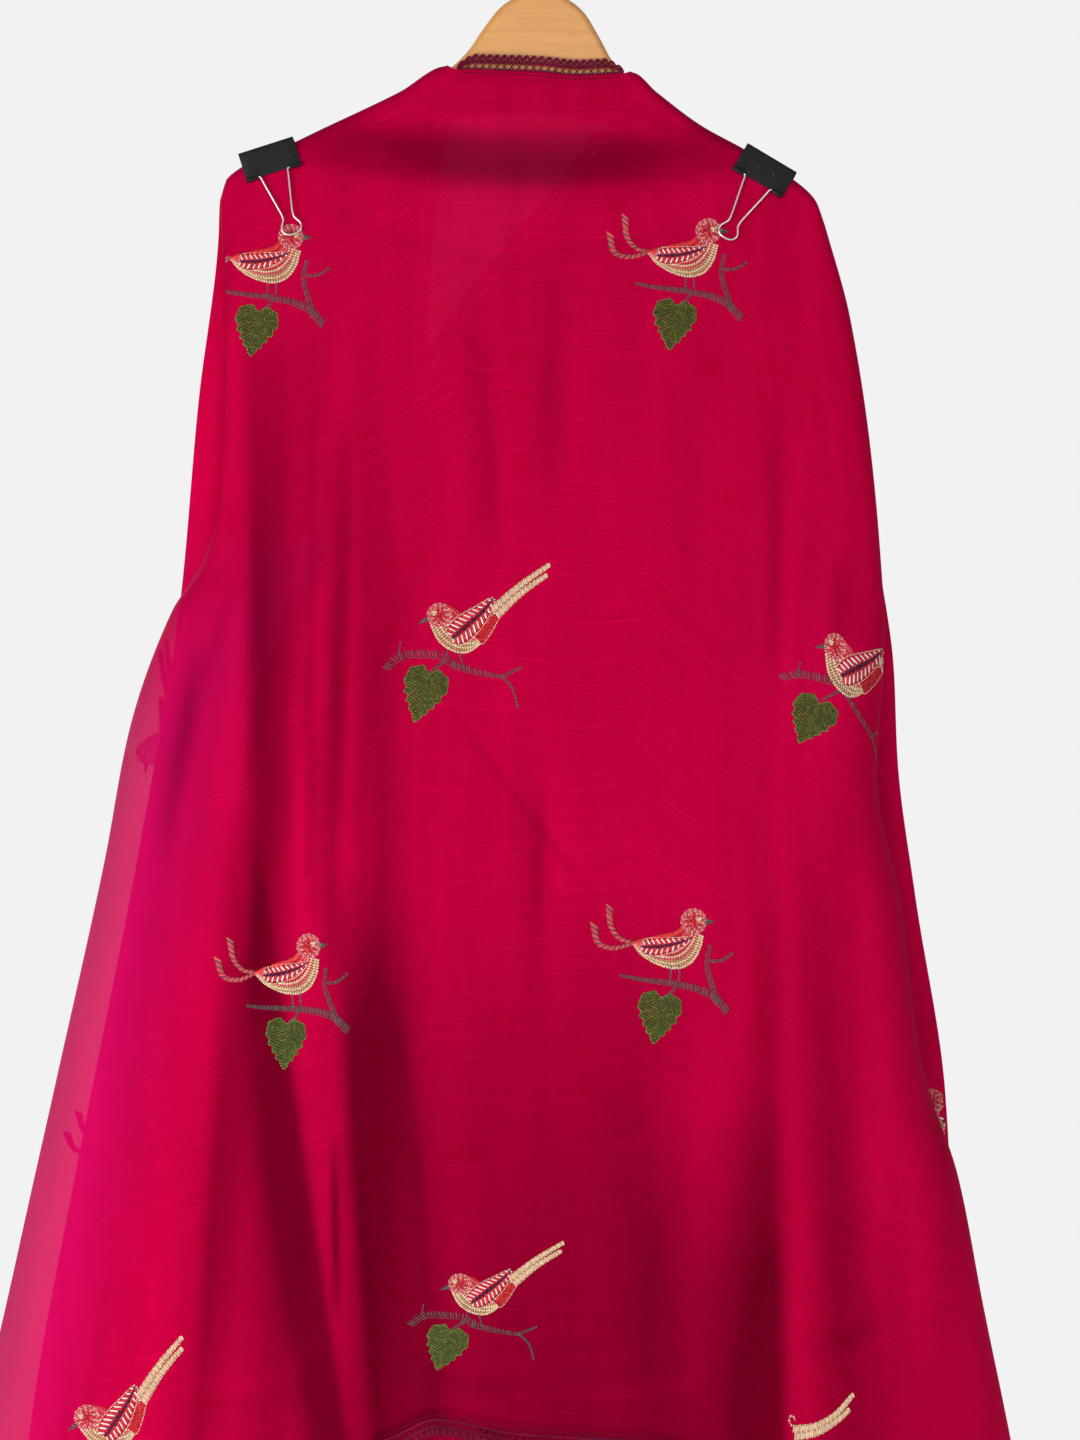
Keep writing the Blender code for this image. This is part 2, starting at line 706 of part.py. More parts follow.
def thickened(line, thickness):
    """Closed outline at half the thickness on both sides of an open line."""
    points = np.array(line)
    ahead = np.gradient(points, axis=0)
    ahead /= np.linalg.norm(ahead, axis=1)[:, None]
    aside = np.stack([-ahead[:, 1], ahead[:, 0]], axis=1) * thickness / 2
    return np.concatenate([points + aside, (points - aside)[::-1]])


def notch_cutter(name, side):
    """Block that opens the middle of a rolled lip; side is -1 near, +1 far."""
    bpy.ops.mesh.primitive_cube_add(size=1.0)
    cutter = bpy.context.object
    cutter.name = name
    middle = side * (CLIP_HALF_GAP - CLIP_STEEL + NOTCH_REACH / 2)
    top = -CLIP_FACE + ROLL_RADIUS + CLIP_STEEL
    cutter.scale = (2 * NOTCH_HALF, NOTCH_REACH, NOTCH_REACH)
    cutter.location = (0, middle, top - NOTCH_REACH / 2)
    cutter.hide_render = True
    cutter.display_type = "WIRE"
    return cutter


def handle_route(side):
    """A handle from pin to pin, below the lip's axis; side is -1 near, +1 far."""
    spread = HANDLE_LEG - HANDLE_NECK
    half = [
        (HANDLE_PIN, 0.0),
        (HANDLE_LEG, 0.0),
        HANDLE_LEG_BEND,
        (HANDLE_NECK + HANDLE_LEG_SAG * spread, HANDLE_LEG_MIDDLE * HANDLE_NECK_DROP),
        (HANDLE_NECK, HANDLE_NECK_DROP),
        (0.75 * HANDLE_LOOP, 0.5 * (HANDLE_NECK_DROP + HANDLE_LOOP_DROP)),
        (HANDLE_LOOP, HANDLE_LOOP_DROP),
        (0.8 * HANDLE_LOOP, HANDLE_LENGTH - WIRE_HANDLE),
        (0.4 * HANDLE_LOOP, HANDLE_LENGTH),
    ]
    whole = [(-x, drop) for x, drop in half] + half[::-1]
    lean = side * math.sin(HANDLE_LEAN)
    return [(x, lean * drop, -math.cos(HANDLE_LEAN) * drop) for x, drop in whole]


def build_clips():
    black = finish("black_paint", (0.012, 0.012, 0.013), 0.45)
    bright = finish("handle_steel", (0.70, 0.68, 0.65), 0.25, 1.0)
    outline = thickened(clip_midline(), CLIP_STEEL)
    for clip in CLIPS:
        holder = bpy.data.objects.new(f"{clip.name}_place", None)
        bpy.context.scene.collection.objects.link(holder)
        holder.location = (clip.x, 0, clip.level)
        holder.rotation_euler = (0, clip.turn, 0)
        mesh = bpy.data.meshes.new(clip.name)
        build = bmesh.new()
        face = build.faces.new(
            [build.verts.new((-CLIP_WIDTH / 2, y, level)) for y, level in outline]
        )
        pushed = bmesh.ops.extrude_face_region(build, geom=[face])["geom"]
        moved = [item for item in pushed if isinstance(item, bmesh.types.BMVert)]
        bmesh.ops.translate(build, verts=moved, vec=(CLIP_WIDTH, 0, 0))
        bmesh.ops.recalc_face_normals(build, faces=build.faces)
        build.to_mesh(mesh)
        build.free()
        body = link(clip.name, mesh, black)
        body.parent = holder
        for side, word in ((-1, "near"), (1, "far")):
            cutter = notch_cutter(f"{clip.name}_{word}_notch", side)
            cutter.parent = holder
            notch = body.modifiers.new(f"{word} notch", "BOOLEAN")
            notch.operation = "DIFFERENCE"
            notch.object = cutter
            handle = wire(
                f"{clip.name}_{word}_handle", handle_route(side), WIRE_HANDLE, 1, bright
            )
            handle.location = (0, side * (CLIP_HALF_GAP + ROLL_RADIUS), -CLIP_FACE)
            handle.parent = holder


def main():
    clear_scene()
    build_cloth()
    build_hanger()
    build_clips()


main()
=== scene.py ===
"""Dressed model of an embroidered dupatta stole, draped over a wooden hanger and held by two clips.

The cloth is one long rectangle of sheer crepe with a crochet lace along both long sides.  Its
middle hangs on the near side (-Y), it goes over both arms, and its ends hang on the far side.
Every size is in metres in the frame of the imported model: +Z up, +X to the right as seen from the
near side, the origin where a rail bears in the hanger's hook.  A level is a height in that frame.
"""

import logging
import math
from dataclasses import dataclass
from enum import Enum
from functools import cache
from typing import Callable, NamedTuple, Sequence

import bpy
import numpy as np
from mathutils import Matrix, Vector


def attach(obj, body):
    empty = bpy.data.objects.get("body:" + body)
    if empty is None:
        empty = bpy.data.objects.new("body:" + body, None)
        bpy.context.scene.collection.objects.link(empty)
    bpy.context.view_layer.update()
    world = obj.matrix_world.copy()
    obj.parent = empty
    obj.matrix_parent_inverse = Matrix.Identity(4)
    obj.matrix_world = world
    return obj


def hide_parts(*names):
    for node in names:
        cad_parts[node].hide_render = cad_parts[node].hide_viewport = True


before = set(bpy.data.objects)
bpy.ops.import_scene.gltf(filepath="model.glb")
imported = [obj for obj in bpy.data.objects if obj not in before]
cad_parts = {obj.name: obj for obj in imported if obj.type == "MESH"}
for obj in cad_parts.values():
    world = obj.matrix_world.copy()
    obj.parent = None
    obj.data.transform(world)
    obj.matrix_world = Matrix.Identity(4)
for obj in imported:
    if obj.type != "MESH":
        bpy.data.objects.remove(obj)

log = logging.getLogger("stole")
Array = np.ndarray
Colour = tuple[float, float, float]
Place = tuple[float, float, float]
Point = tuple[float, float]
Object = bpy.types.Object
Mesh = bpy.types.Mesh
Material = bpy.types.Material
Tree = bpy.types.NodeTree
Node = bpy.types.Node
Socket = bpy.types.NodeSocket
MM = 0.001


# ---- tables
class Row(NamedTuple):
    """One row of a curve's table: a value at a place."""

    at: float
    value: float


class Fold(NamedTuple):
    """A soft trough (depth above 0) or ridge (below 0) down a hanging stretch, with the painted shade along
    it.
    """

    top_x: float
    top_level: float
    low_x: float
    low_level: float
    half_width: float
    depth: float
    hollow: float = 0.0  # painted shade it puts on the cloth's colour, below 0 a painted highlight
    crisp: int = 0  # -1 where its edge on the left is crisp, +1 on the right

    def reach(self, x: Array, level: Array) -> tuple[Array, Array]:
        """Share of the way along the fold, and the distance from its middle."""
        share = np.clip((self.top_level - level) / (self.top_level - self.low_level), 0, 1)
        return share, x - (self.top_x + (self.low_x - self.top_x) * share)


class Swag(NamedTuple):
    """A trough (depth above 0) or ridge that sags between two points of a stretch, with the painted shade
    along it.
    """

    left_x: float
    left_level: float
    right_x: float
    right_level: float
    drop: float
    half_width: float
    depth: float
    # painted shade it puts on the cloth's colour, below 0 a painted highlight
    hollow: float = 0.0
    crisp: int = 0  # -1 where its lower edge is crisp, +1 the upper one

    def reach(self, x: Array, level: Array) -> tuple[Array, Array]:
        """Share of the way along the swag, and the distance above its middle."""
        share = np.clip((x - self.left_x) / (self.right_x - self.left_x), 0, 1)
        chord = self.left_level + (self.right_level - self.left_level) * share
        return share, level - (chord - self.drop * 4 * share * (1 - share))


class Ripple(NamedTuple):
    """A low wave across a stretch: waves across it, waves down it, start and height."""

    across: float
    down: float
    start: float
    height: float


def rows_of(kind: type, *values: Sequence) -> tuple:
    """Rows of one kind from their values."""
    return tuple(kind(*row) for row in values)


def table(*values: Point) -> tuple[Row, ...]:
    """Rows of a curve's table."""
    return rows_of(Row, *values)


# Height of the cloth's top across the near stretch: (x, level)
NEAR_TOP = table(
    (-0.2362, -0.2148), (-0.2304, -0.199), (-0.1786, -0.1716), (-0.1066, -0.137), (-0.0735, -0.1187),
    (-0.067, -0.1225), (-0.006, -0.125), (0.02, -0.1275), (0.0545, -0.1255), (0.061, -0.1232),
    (0.0778, -0.137), (0.1094, -0.1608), (0.1418, -0.1788), (0.1814, -0.204), (0.1922, -0.2148),
    (0.1994, -0.2328),
)
# How far the cloth has turned forward at its top, from 0 on an arm to 1 at the neck: (x, share)
NECK_TURN = table((-0.0735, 0.0), (-0.067, 1.0), (0.0545, 1.0), (0.061, 0.0))
# Lower edge of the near stretch: (x, level)
NEAR_HEM = table(
    (-0.42, -1.135), (-0.3, -1.126), (-0.16, -1.112), (-0.1111, -1.0939), (-0.08, -1.0795),
    (-0.018, -1.089), (0.0687, -1.0939), (0.14, -1.108), (0.25, -1.12), (0.34, -1.13),
)
# Distance of the near face in front of the hanger's middle: (level, distance)
NEAR_REACH = table(
    (-0.12, 0.009), (-0.235, 0.009), (-0.3, 0.0125), (-0.45, 0.022), (-0.6, 0.032), (-1.15, 0.056),
)
# The same for the far face of the ends
FAR_REACH = table(
    (-0.12, 0.009), (-0.25, 0.009), (-0.35, 0.016), (-0.6, 0.048), (-1.1, 0.1), (-1.3, 0.112),
)
# Extra distance of the right end where it laps behind the left one: shares by level and by x
LAP = 0.008
LAP_BY_LEVEL = table((-0.24, 0.0), (-0.32, 1.0))
LAP_BY_X = table((0.105, 1.0), (0.15, 0.0))
# Width over which a stretch turns into its crease: (level, width)
TURN_WIDTH = table(
    (-0.2, 0.009), (-0.26, 0.012), (-0.45, 0.03), (-0.7, 0.045), (-1.15, 0.065),
)
# Place of the three creases in depth: (drop below the shoulder, y)
CREASE_0_Y = table((-1.085, -0.008), (-0.385, -0.006), (-0.06, -0.0035), (0.0, 0.0))
CREASE_1_Y = table((-1.085, 0.03), (-0.385, 0.011), (-0.06, 0.0), (0.0, 0.0))
CREASE_2_Y = table((-1.085, 0.064), (-0.385, 0.024), (-0.06, 0.0035), (0.0, 0.0))

# Folds of the near stretch; their seventh column is painted shade, below 0 a painted highlight
NEAR_FOLDS = rows_of(
    Fold,
    # the main troughs and ridges
    (-0.216, -0.34, -0.232, -0.62, 0.013, 0.003), (-0.184, -0.29, -0.196, -0.68, 0.013, -0.002),
    (-0.15, -0.28, -0.16, -0.74, 0.012, 0.004), (-0.05, -0.26, -0.03, -0.5, 0.014, 0.002, 0.06),
    (0.012, -0.24, 0.006, -0.46, 0.013, 0.002, 0.06), (-0.01, -0.58, -0.002, -0.8, 0.015, 0.003, 0.06),
    (0.155, -0.46, 0.17, -1.4, 0.017, 0.005, 0.1), (0.205, -0.48, 0.222, -0.66, 0.016, -0.004),
    (-0.105, -0.78, -0.128, -1.4, 0.024, 0.009, 0.2), (-0.222, -0.8, -0.262, -1.3, 0.02, 0.004, 0.1),
    (0.14, -0.86, 0.147, -1.4, 0.02, 0.006, 0.2), (0.24, -0.8, 0.262, -1.4, 0.024, -0.006, -0.05),
    (-0.205, -0.88, -0.21, -1.4, 0.02, -0.002),
    # lesser ones among them, mostly lines of painted shade and highlight with little depth
    (-0.209, -0.287, -0.2, -0.82, 0.0274, 0.002, 0.92, -1),
    (-0.215, -0.647, -0.12, -1.295, 0.0259, 0.0015, 1.15, 1),
    (-0.206, -0.748, -0.202, -1.295, 0.0288, 0.0, 0.42),
    (-0.128, -0.301, -0.108, -1.007, 0.0216, 0.0015, 0.52),
    (0.095, -0.863, 0.098, -1.367, 0.0324, 0.0, 0.36),
    (-0.143, -0.359, -0.154, -0.776, 0.0065, 0.003, 0.62),
    (-0.148, -0.69, -0.092, -1.295, 0.0317, 0.002, 1.1, -1),
    (-0.107, -0.719, -0.099, -1.367, 0.0302, 0.002, 0.25),
    (-0.219, -0.704, -0.253, -1.223, 0.0202, 0.0015, 0.55, -1),
    (-0.246, -0.524, -0.271, -0.69, 0.0086, 0.002, 0.5),
    (-0.176, -0.546, -0.168, -0.791, 0.0079, -0.002, -0.3),
    (-0.16, -0.474, -0.16, -0.618, 0.0072, -0.001, -0.15),
    (-0.166, -0.287, -0.168, -0.748, 0.0029, 0.0008, 0.16),
    (-0.23, -0.218, -0.23, -0.312, 0.0065, 0.001, 0.3),
    (-0.002, -0.704, -0.002, -1.511, 0.1188, 0.0, 0.8),
    (0.066, -0.762, 0.073, -1.151, 0.0216, 0.002, 0.2),
    (0.115, -0.791, 0.114, -0.978, 0.013, -0.001, -0.2),
    (-0.005, -0.632, -0.007, -0.74, 0.0058, 0.001, 0.3),
    (-0.085, -0.56, 0.037, -0.719, 0.0043, 0.001, 0.2),
    (-0.043, -0.308, -0.031, -0.474, 0.0086, 0.001, 0.07),
    (0.009, -0.251, 0.003, -0.445, 0.0086, 0.001, 0.07),
    (0.158, -0.848, 0.156, -1.367, 0.0331, 0.002, 0.95, 1),
    (0.142, -0.676, 0.142, -0.848, 0.0094, -0.002, -0.15),
    (0.16, -0.704, 0.154, -0.935, 0.0101, 0.002, 0.25),
    (0.167, -0.344, 0.161, -0.575, 0.0065, 0.0015, 0.22),
    (0.183, -0.388, 0.174, -0.604, 0.0065, -0.0015, -0.2),
    (0.215, -0.46, 0.202, -0.575, 0.0079, 0.0025, 0.36),
    (0.192, -0.618, 0.222, -1.367, 0.0216, 0.003, 0.62), (0.229, -0.899, 0.245, -1.367, 0.0173, 0.0, 0.3),
    (0.257, -0.92, 0.282, -1.367, 0.036, 0.0, 0.28),
    (-0.151, -0.877, -0.148, -1.014, 0.0029, 0.0005, 0.85),
    (0.242, -0.618, 0.295, -0.978, 0.0094, 0.003, 0.4),
)
# Swags of the near stretch; their eighth column is painted shade, below 0 a painted highlight. The dark band
# under the hanger's arms is painted shade with no depth.
NEAR_SWAGS = rows_of(
    Swag,
    (-0.19, -0.165, 0.15, -0.17, 0.008, 0.011, 0.0016, 0.3),
    (-0.15, -0.165, 0.13, -0.169, 0.025, 0.011, 0.001, 0.25),
    (-0.24, -0.166, 0.195, -0.176, 0.028, 0.03, 0.0, 0.64, -1),
    (-0.15, -0.15, 0.12, -0.158, 0.004, 0.007, -0.001, -0.14),
    (-0.19, -0.204, 0.0, -0.262, 0.01, 0.007, 0.0008, 0.05),
    (-0.02, -0.25, 0.15, -0.212, 0.014, 0.007, 0.001, 0.08),
    (-0.11, -0.146, -0.01, -0.17, 0.012, 0.006, 0.0008, 0.06),
    (0.04, -0.15, 0.118, -0.172, 0.006, 0.005, -0.0012, -0.08),
    (-0.1, -1.04, -0.01, -1.052, 0.01, 0.006, 0.0014, 0.1),
    (0.01, -1.06, 0.12, -1.046, 0.008, 0.005, -0.0012, -0.1),
    (0.175, -1.03, 0.25, -1.0, 0.01, 0.008, 0.002, 0.15),
    (-0.26, -1.06, -0.15, -1.03, 0.01, 0.008, -0.0018, -0.1),
)
NEAR_RIPPLES = rows_of(
    Ripple,
    (13.0, 0.7, 0.1, 0.00042), (21.0, -1.3, 0.55, 0.00026), (34.0, 2.1, 0.35, 0.00014),
)
# The two ends share these, so that they nest where they lap
FAR_FOLDS = rows_of(
    Fold,
    (-0.25, -0.5, -0.29, -1.35, 0.024, 0.014), (-0.175, -0.3, -0.19, -1.35, 0.018, -0.01),
    (-0.105, -0.46, -0.1, -1.35, 0.02, 0.013), (-0.045, -0.62, -0.03, -1.35, 0.018, -0.009),
    (0.01, -0.34, 0.03, -1.1, 0.02, 0.008), (0.13, -0.55, 0.125, -1.35, 0.017, 0.011),
    (0.17, -0.3, 0.18, -1.35, 0.018, -0.01), (0.215, -0.42, 0.235, -1.35, 0.02, 0.013),
    (-0.215, -0.33, -0.245, -0.8, 0.008, -0.0026), (-0.198, -0.28, -0.225, -0.62, 0.0055, 0.0022),
    (-0.14, -0.27, -0.148, -0.7, 0.007, 0.0026), (-0.07, -0.36, -0.074, -0.8, 0.008, -0.0022),
    (-0.268, -0.66, -0.33, -1.3, 0.01, -0.0034), (-0.15, -0.8, -0.156, -1.3, 0.008, 0.003),
    (-0.01, -0.8, 0.004, -1.2, 0.009, 0.003), (0.06, -0.46, 0.075, -1.05, 0.011, -0.003),
    (0.095, -0.3, 0.092, -0.74, 0.007, 0.0024), (0.148, -0.29, 0.158, -0.9, 0.007, 0.0026),
    (0.192, -0.34, 0.214, -0.86, 0.0075, -0.0026), (0.2, -0.85, 0.214, -1.3, 0.0085, 0.003),
    (0.245, -0.6, 0.285, -1.3, 0.009, -0.003),
)
FAR_RIPPLES = rows_of(
    Ripple,
    (11.0, 1.1, 0.3, 0.0007), (19.0, -1.7, 0.05, 0.00045), (31.0, 2.6, 0.6, 0.00025),
)


@dataclass(frozen=True)
class Side:
    """The tables of one side of the cloth; inward is +1 where x grows towards the middle."""

    name: str
    inward: int
    shoulder: float  # level where the outer creases start
    crease_0: tuple[Row, ...]  # near outer crease: (level, x)
    crease_1: tuple[Row, ...]  # inner crease: (level, x)
    crease_2: tuple[Row, ...]  # the arm's top and then the far outer crease: (level, x)
    lace: tuple[Row, ...]  # the end's lace edge: (level, x)
    lace_level: tuple[Row, ...]  # level at the lace edge for a level at crease 2
    fold_hem: tuple[Row, ...]  # lower edge of the inner folds: (crease number, level)
    lap: float  # how far its end stands off behind the other one


LEFT = Side(
    name="left",
    inward=1,
    shoulder=-0.2148,
    crease_0=table(
        (-0.2148, -0.2362), (-0.3084, -0.2318), (-0.4236, -0.2347), (-0.474, -0.247), (-0.512, -0.2705),
        (-0.595, -0.3002), (-0.69, -0.3182), (-0.8412, -0.3514), (-0.9708, -0.3802), (-1.1508, -0.4183),
        (-1.35, -0.445),
    ),
    crease_1=table(
        (-0.2148, -0.2362), (-0.235, -0.224), (-0.275, -0.205), (-0.45, -0.165), (-0.7, -0.115),
        (-0.95, -0.065), (-1.35, -0.03),
    ),
    crease_2=table(
        (-0.1187, -0.0735), (-0.137, -0.1066), (-0.1716, -0.1786), (-0.199, -0.2304), (-0.2148, -0.2362),
        (-0.2436, -0.2376), (-0.3588, -0.2527), (-0.5028, -0.2671), (-0.6878, -0.2995),
        (-0.9175, -0.3463), (-1.1054, -0.3816), (-1.35, -0.408),
    ),
    lace=table(
        (-0.1187, -0.0735), (-0.14, -0.079), (-0.2, -0.09), (-0.3, -0.099), (-0.42, -0.099),
        (-0.52, -0.088), (-0.589, -0.0698), (-0.6612, -0.0245), (-0.7274, 0.02), (-0.8, 0.056),
        (-0.9348, 0.079), (-1.12, 0.085),
    ),
    lace_level=table(
        (-0.1187, -0.119), (-0.12, -0.132), (-0.137, -0.18), (-0.1622, -0.238), (-0.1856, -0.29),
        (-0.204, -0.33), (-0.24, -0.375), (-0.3, -0.42), (-0.38, -0.475), (-0.48, -0.545), (-0.6, -0.63),
        (-0.73, -0.725), (-0.86, -0.825), (-0.99, -0.92), (-1.12, -1.02), (-1.23, -1.12),
    ),
    fold_hem=table((0.0, -1.135), (1.0, -1.24), (1.35, -1.31), (2.0, -1.23)),
    lap=0.0,
)

RIGHT = Side(
    name="right",
    inward=-1,
    shoulder=-0.2328,
    crease_0=table(
        (-0.2328, 0.1994), (-0.3012, 0.2174), (-0.3948, 0.2318), (-0.474, 0.239), (-0.5266, 0.2419),
        (-0.6324, 0.2362), (-0.7181, 0.2527), (-0.8347, 0.268), (-0.9175, 0.2945), (-1.0025, 0.311),
        (-1.1508, 0.3398), (-1.35, 0.364),
    ),
    crease_1=table(
        (-0.2328, 0.1994), (-0.248, 0.188), (-0.275, 0.165), (-0.45, 0.135), (-0.7, 0.105),
        (-0.95, 0.085), (-1.35, 0.075),
    ),
    crease_2=table(
        (-0.1232, 0.061), (-0.137, 0.0778), (-0.1608, 0.1094), (-0.204, 0.1814), (-0.2148, 0.1922),
        (-0.2328, 0.1994), (-0.3012, 0.213), (-0.474, 0.24), (-0.551, 0.2515), (-0.6187, 0.2549),
        (-0.7181, 0.2686), (-0.8606, 0.2915), (-1.0025, 0.3), (-1.1076, 0.3074), (-1.35, 0.325),
    ),
    lace=table(
        (-0.1232, 0.061), (-0.15, 0.052), (-0.19, 0.03), (-0.26, -0.028), (-0.34, -0.085),
        (-0.42, -0.115), (-0.55, -0.124), (-0.75, -0.112), (-0.95, -0.096), (-1.125, -0.09),
    ),
    lace_level=table(
        (-0.1232, -0.1235), (-0.1245, -0.138), (-0.137, -0.19), (-0.1608, -0.25), (-0.184, -0.305),
        (-0.206, -0.355), (-0.245, -0.405), (-0.3, -0.455), (-0.38, -0.52), (-0.48, -0.595),
        (-0.6, -0.68), (-0.73, -0.77), (-0.86, -0.86), (-0.99, -0.95), (-1.1, -1.035), (-1.21, -1.125),
    ),
    fold_hem=table((0.0, -1.13), (1.0, -1.23), (1.35, -1.295), (2.0, -1.21)),
    lap=LAP,
)


# ---- curves
def along(rows: Sequence[Row], at: Array | float) -> Array:
    """Smooth curve through a table's rows that never overshoots them (monotone cubic).

    Args:
        rows: the table.
        at: places to read it at.

    Returns:
        The values there, with the end values held past the ends.
    """
    at = np.asarray(at, float)
    order = sorted(rows)
    places = np.array([row.at for row in order])
    values = np.array([row.value for row in order])
    steps = np.diff(places)
    slopes = np.diff(values) / steps
    inner = np.zeros(len(slopes) - 1)
    same = slopes[:-1] * slopes[1:] > 0
    inner[same] = 2 / (1 / slopes[:-1][same] + 1 / slopes[1:][same])
    tangents = np.concatenate([[slopes[0]], inner, [slopes[-1]]])
    at = np.clip(at, places[0], places[-1])
    i = np.clip(np.searchsorted(places, at) - 1, 0, len(steps) - 1)
    t = (at - places[i]) / steps[i]
    rise = t * t * (3 - 2 * t)
    bend = steps[i] * t * (1 - t) * ((1 - t) * tangents[i] - t * tangents[i + 1])
    return values[i] * (1 - rise) + values[i + 1] * rise + bend


def quarter(share: Array) -> Array:
    """Height of a quarter circle from its rim (0) to its top (1)."""
    return np.sqrt(1 - (1 - np.clip(share, 0, 1)) ** 2)


def turn_steps(count: int) -> Array:
    """Places across a turn, at equal angles round it."""
    return 1 - np.cos(np.linspace(0, math.pi / 2, count + 1))


def unit(vectors: Array) -> Array:
    """The vectors along the last axis, each at length 1."""
    return vectors / np.maximum(np.linalg.norm(vectors, axis=-1, keepdims=True), 1e-12)


def lengths(points: Array) -> Array:
    """Distance along a line of points, from 0 at its start."""
    steps = np.linalg.norm(np.diff(points, axis=0), axis=1)
    return np.concatenate([[0.0], np.cumsum(steps)])


# ---- the shape of the hung cloth
def outer_creases(level: Array) -> tuple[Array, Array]:
    """x of the near stretch's left and right creases."""
    return along(LEFT.crease_0, level), along(RIGHT.crease_0, level)


@dataclass(frozen=True)
class Drape:
    """Surfaces of the hung cloth, and the grids of points that its pieces are made from."""

    wrap_rise: float = 0.0098  # drop over which it turns from the top of an arm to its face
    fold_fade: float = 0.8  # power of the sine that fades a fold in and out
    layer_bulge: float = 0.6  # how far an inner layer swings past a straight run
    turn_columns: int = 9
    wrap_rows: int = 8
    near_columns: int = 178
    near_rows: int = 205
    layer_columns: int = 42
    end_columns: int = 62
    row_grading: float = 1.12
    crisp_share: float = 0.34  # width of a fold's crisp side, as a share of its soft one
    far_painted_shade_gain: float = 30.0  # painted shade on the ends for each metre of fold depth
    # least and most painted shade on the ends, below 0 a painted highlight
    far_painted_shade_limits: Point = (-0.6, 0.8)
    ripple_swell: Point = (3.1, 1.7)  # how fast the ripples come and go, across and down
    ripple_top: float = -0.16  # level where they start
    ripple_rise: float = 0.25  # drop over which they grow
    calm: tuple[float, float, float] = (0.62, 0.24, 0.75)  # the calm stretch: its place, reach and depth
    layer_waves: Point = (3.2, 1.9)
    layer_wave_height: float = 0.0012
    layer_wave_rise: float = 0.3
    layer_rim: float = 0.33  # share of a layer, at each of its creases, with closer columns
    most_turn: float = 0.6  # most of an end's row that its turn at the crease takes

    def summed(self, folds: Sequence[Fold | Swag], x: Array, level: Array, column: str = "depth") -> Array:
        """What soft folds add at a place; each fades in and out along its line.

        Args:
            folds: the folds.
            x: places across.
            level: their levels.
            column: what to add up: their depth, away from the near face for a trough, or their painted shade.

        Returns:
            The sum there.
        """
        total = np.zeros(np.broadcast(x, level).shape)
        for fold in folds:
            share, away = fold.reach(x, level)
            fade = np.sin(math.pi * share) ** self.fold_fade
            width = np.where(away * fold.crisp > 0, self.crisp_share, 1.0) * fold.half_width
            total = total + getattr(fold, column) * fade * np.exp(-((away / width) ** 2))
        return total

    def hollow(self, x: Array, level: Array) -> Array:
        """Painted shade on the near stretch, from below 0, a painted highlight on a crest, to 1 in a deep
        trough.
        """
        return np.clip(self.summed((*NEAR_FOLDS, *NEAR_SWAGS), x, level, "hollow"), -1, 1)

    def far_hollow(self, x: Array, level: Array) -> Array:
        """Painted shade on the ends, from the depth of their folds; below 0 a painted highlight."""
        return np.clip(self.far_painted_shade_gain * self.summed(FAR_FOLDS, x, level), *self.far_painted_shade_limits)

    def rippled(self, ripples: Sequence[Ripple], x: Array, level: Array) -> Array:
        """Depth that low waves add; they spread with the creases and are lowest in the middle."""
        left, right = outer_creases(level)
        share = (x - left) / (right - left)
        total = np.zeros(np.broadcast(x, level).shape)
        for wave in ripples:
            turns = wave.across * share + wave.down * level + wave.start
            across, down = self.ripple_swell
            slow = 0.5 + 0.5 * np.sin(2 * math.pi * (across * share * wave.start + down * level))
            total = total + wave.height * np.sin(2 * math.pi * turns) * slow
        centre, reach, depth = self.calm
        calm = 1 - depth * np.exp(-(((share - centre) / reach) ** 2))
        return total * calm * np.clip((self.ripple_top - level) / self.ripple_rise, 0, 1)

    def near_y(self, x: Array, level: Array) -> Array:
        """y of the near stretch: round the creases, over the arms, and its own folds."""
        left, right = outer_creases(level)
        inside = np.minimum(x - left, right - x)
        turned = quarter(inside / along(TURN_WIDTH, level))
        over = quarter((along(NEAR_TOP, x) - level) / self.wrap_rise + along(NECK_TURN, x))
        side = np.where(x < 0, LEFT.shoulder, RIGHT.shoulder)
        edge = along(CREASE_0_Y, level - side)
        relief = self.summed((*NEAR_FOLDS, *NEAR_SWAGS), x, level) + self.rippled(NEAR_RIPPLES, x, level)
        face = -along(NEAR_REACH, level) + relief
        return edge + (face - edge) * turned * over

    def near_grid(self) -> Array:
        """Points of the near stretch, rows down and columns from the left crease to the right."""
        steps = turn_steps(self.turn_columns)
        middle = np.linspace(0, 1, self.near_columns + 1)[1:-1]
        turns = np.concatenate([steps, np.ones(len(middle)), (2 - steps)[::-1]])
        spread = np.concatenate([np.zeros(len(steps)), middle, np.ones(len(steps))])

        def across(level: Array) -> Array:
            """x of every column at its level."""
            left, right = outer_creases(level)
            turn = along(TURN_WIDTH, level)
            return left + turn * turns + (right - left - 2 * turn) * spread

        top = along(NEAR_TOP, across(np.full(len(turns), LEFT.shoulder)))
        hem = along(NEAR_HEM, across(np.full(len(turns), NEAR_HEM[0].value)))
        wrap = self.wrap_rise * turn_steps(self.wrap_rows)[:, None]
        hang = np.linspace(0, 1, self.near_rows)[1:, None] ** self.row_grading
        drop = top - hem
        start = np.broadcast_to(wrap, (len(wrap), len(top)))
        fall = np.concatenate([start, self.wrap_rise + (drop - self.wrap_rise) * hang])
        level = top - fall
        x = across(level)
        return np.stack([x, self.near_y(x, level), level], axis=-1)

    def layer_share(self, side: Side, number: int, x: Array, level: Array) -> Array:
        """Place across an inner layer, from its outer crease, of a point seen from the front."""
        outer = side.crease_0 if number == 1 else side.crease_2
        start, stop = along(outer, level), along(side.crease_1, level)
        swing = np.clip((x - start) / (stop - start), 0, 1)
        share = np.arccos(1 - 2 * swing) / math.pi
        return share if number == 1 else 1 - share

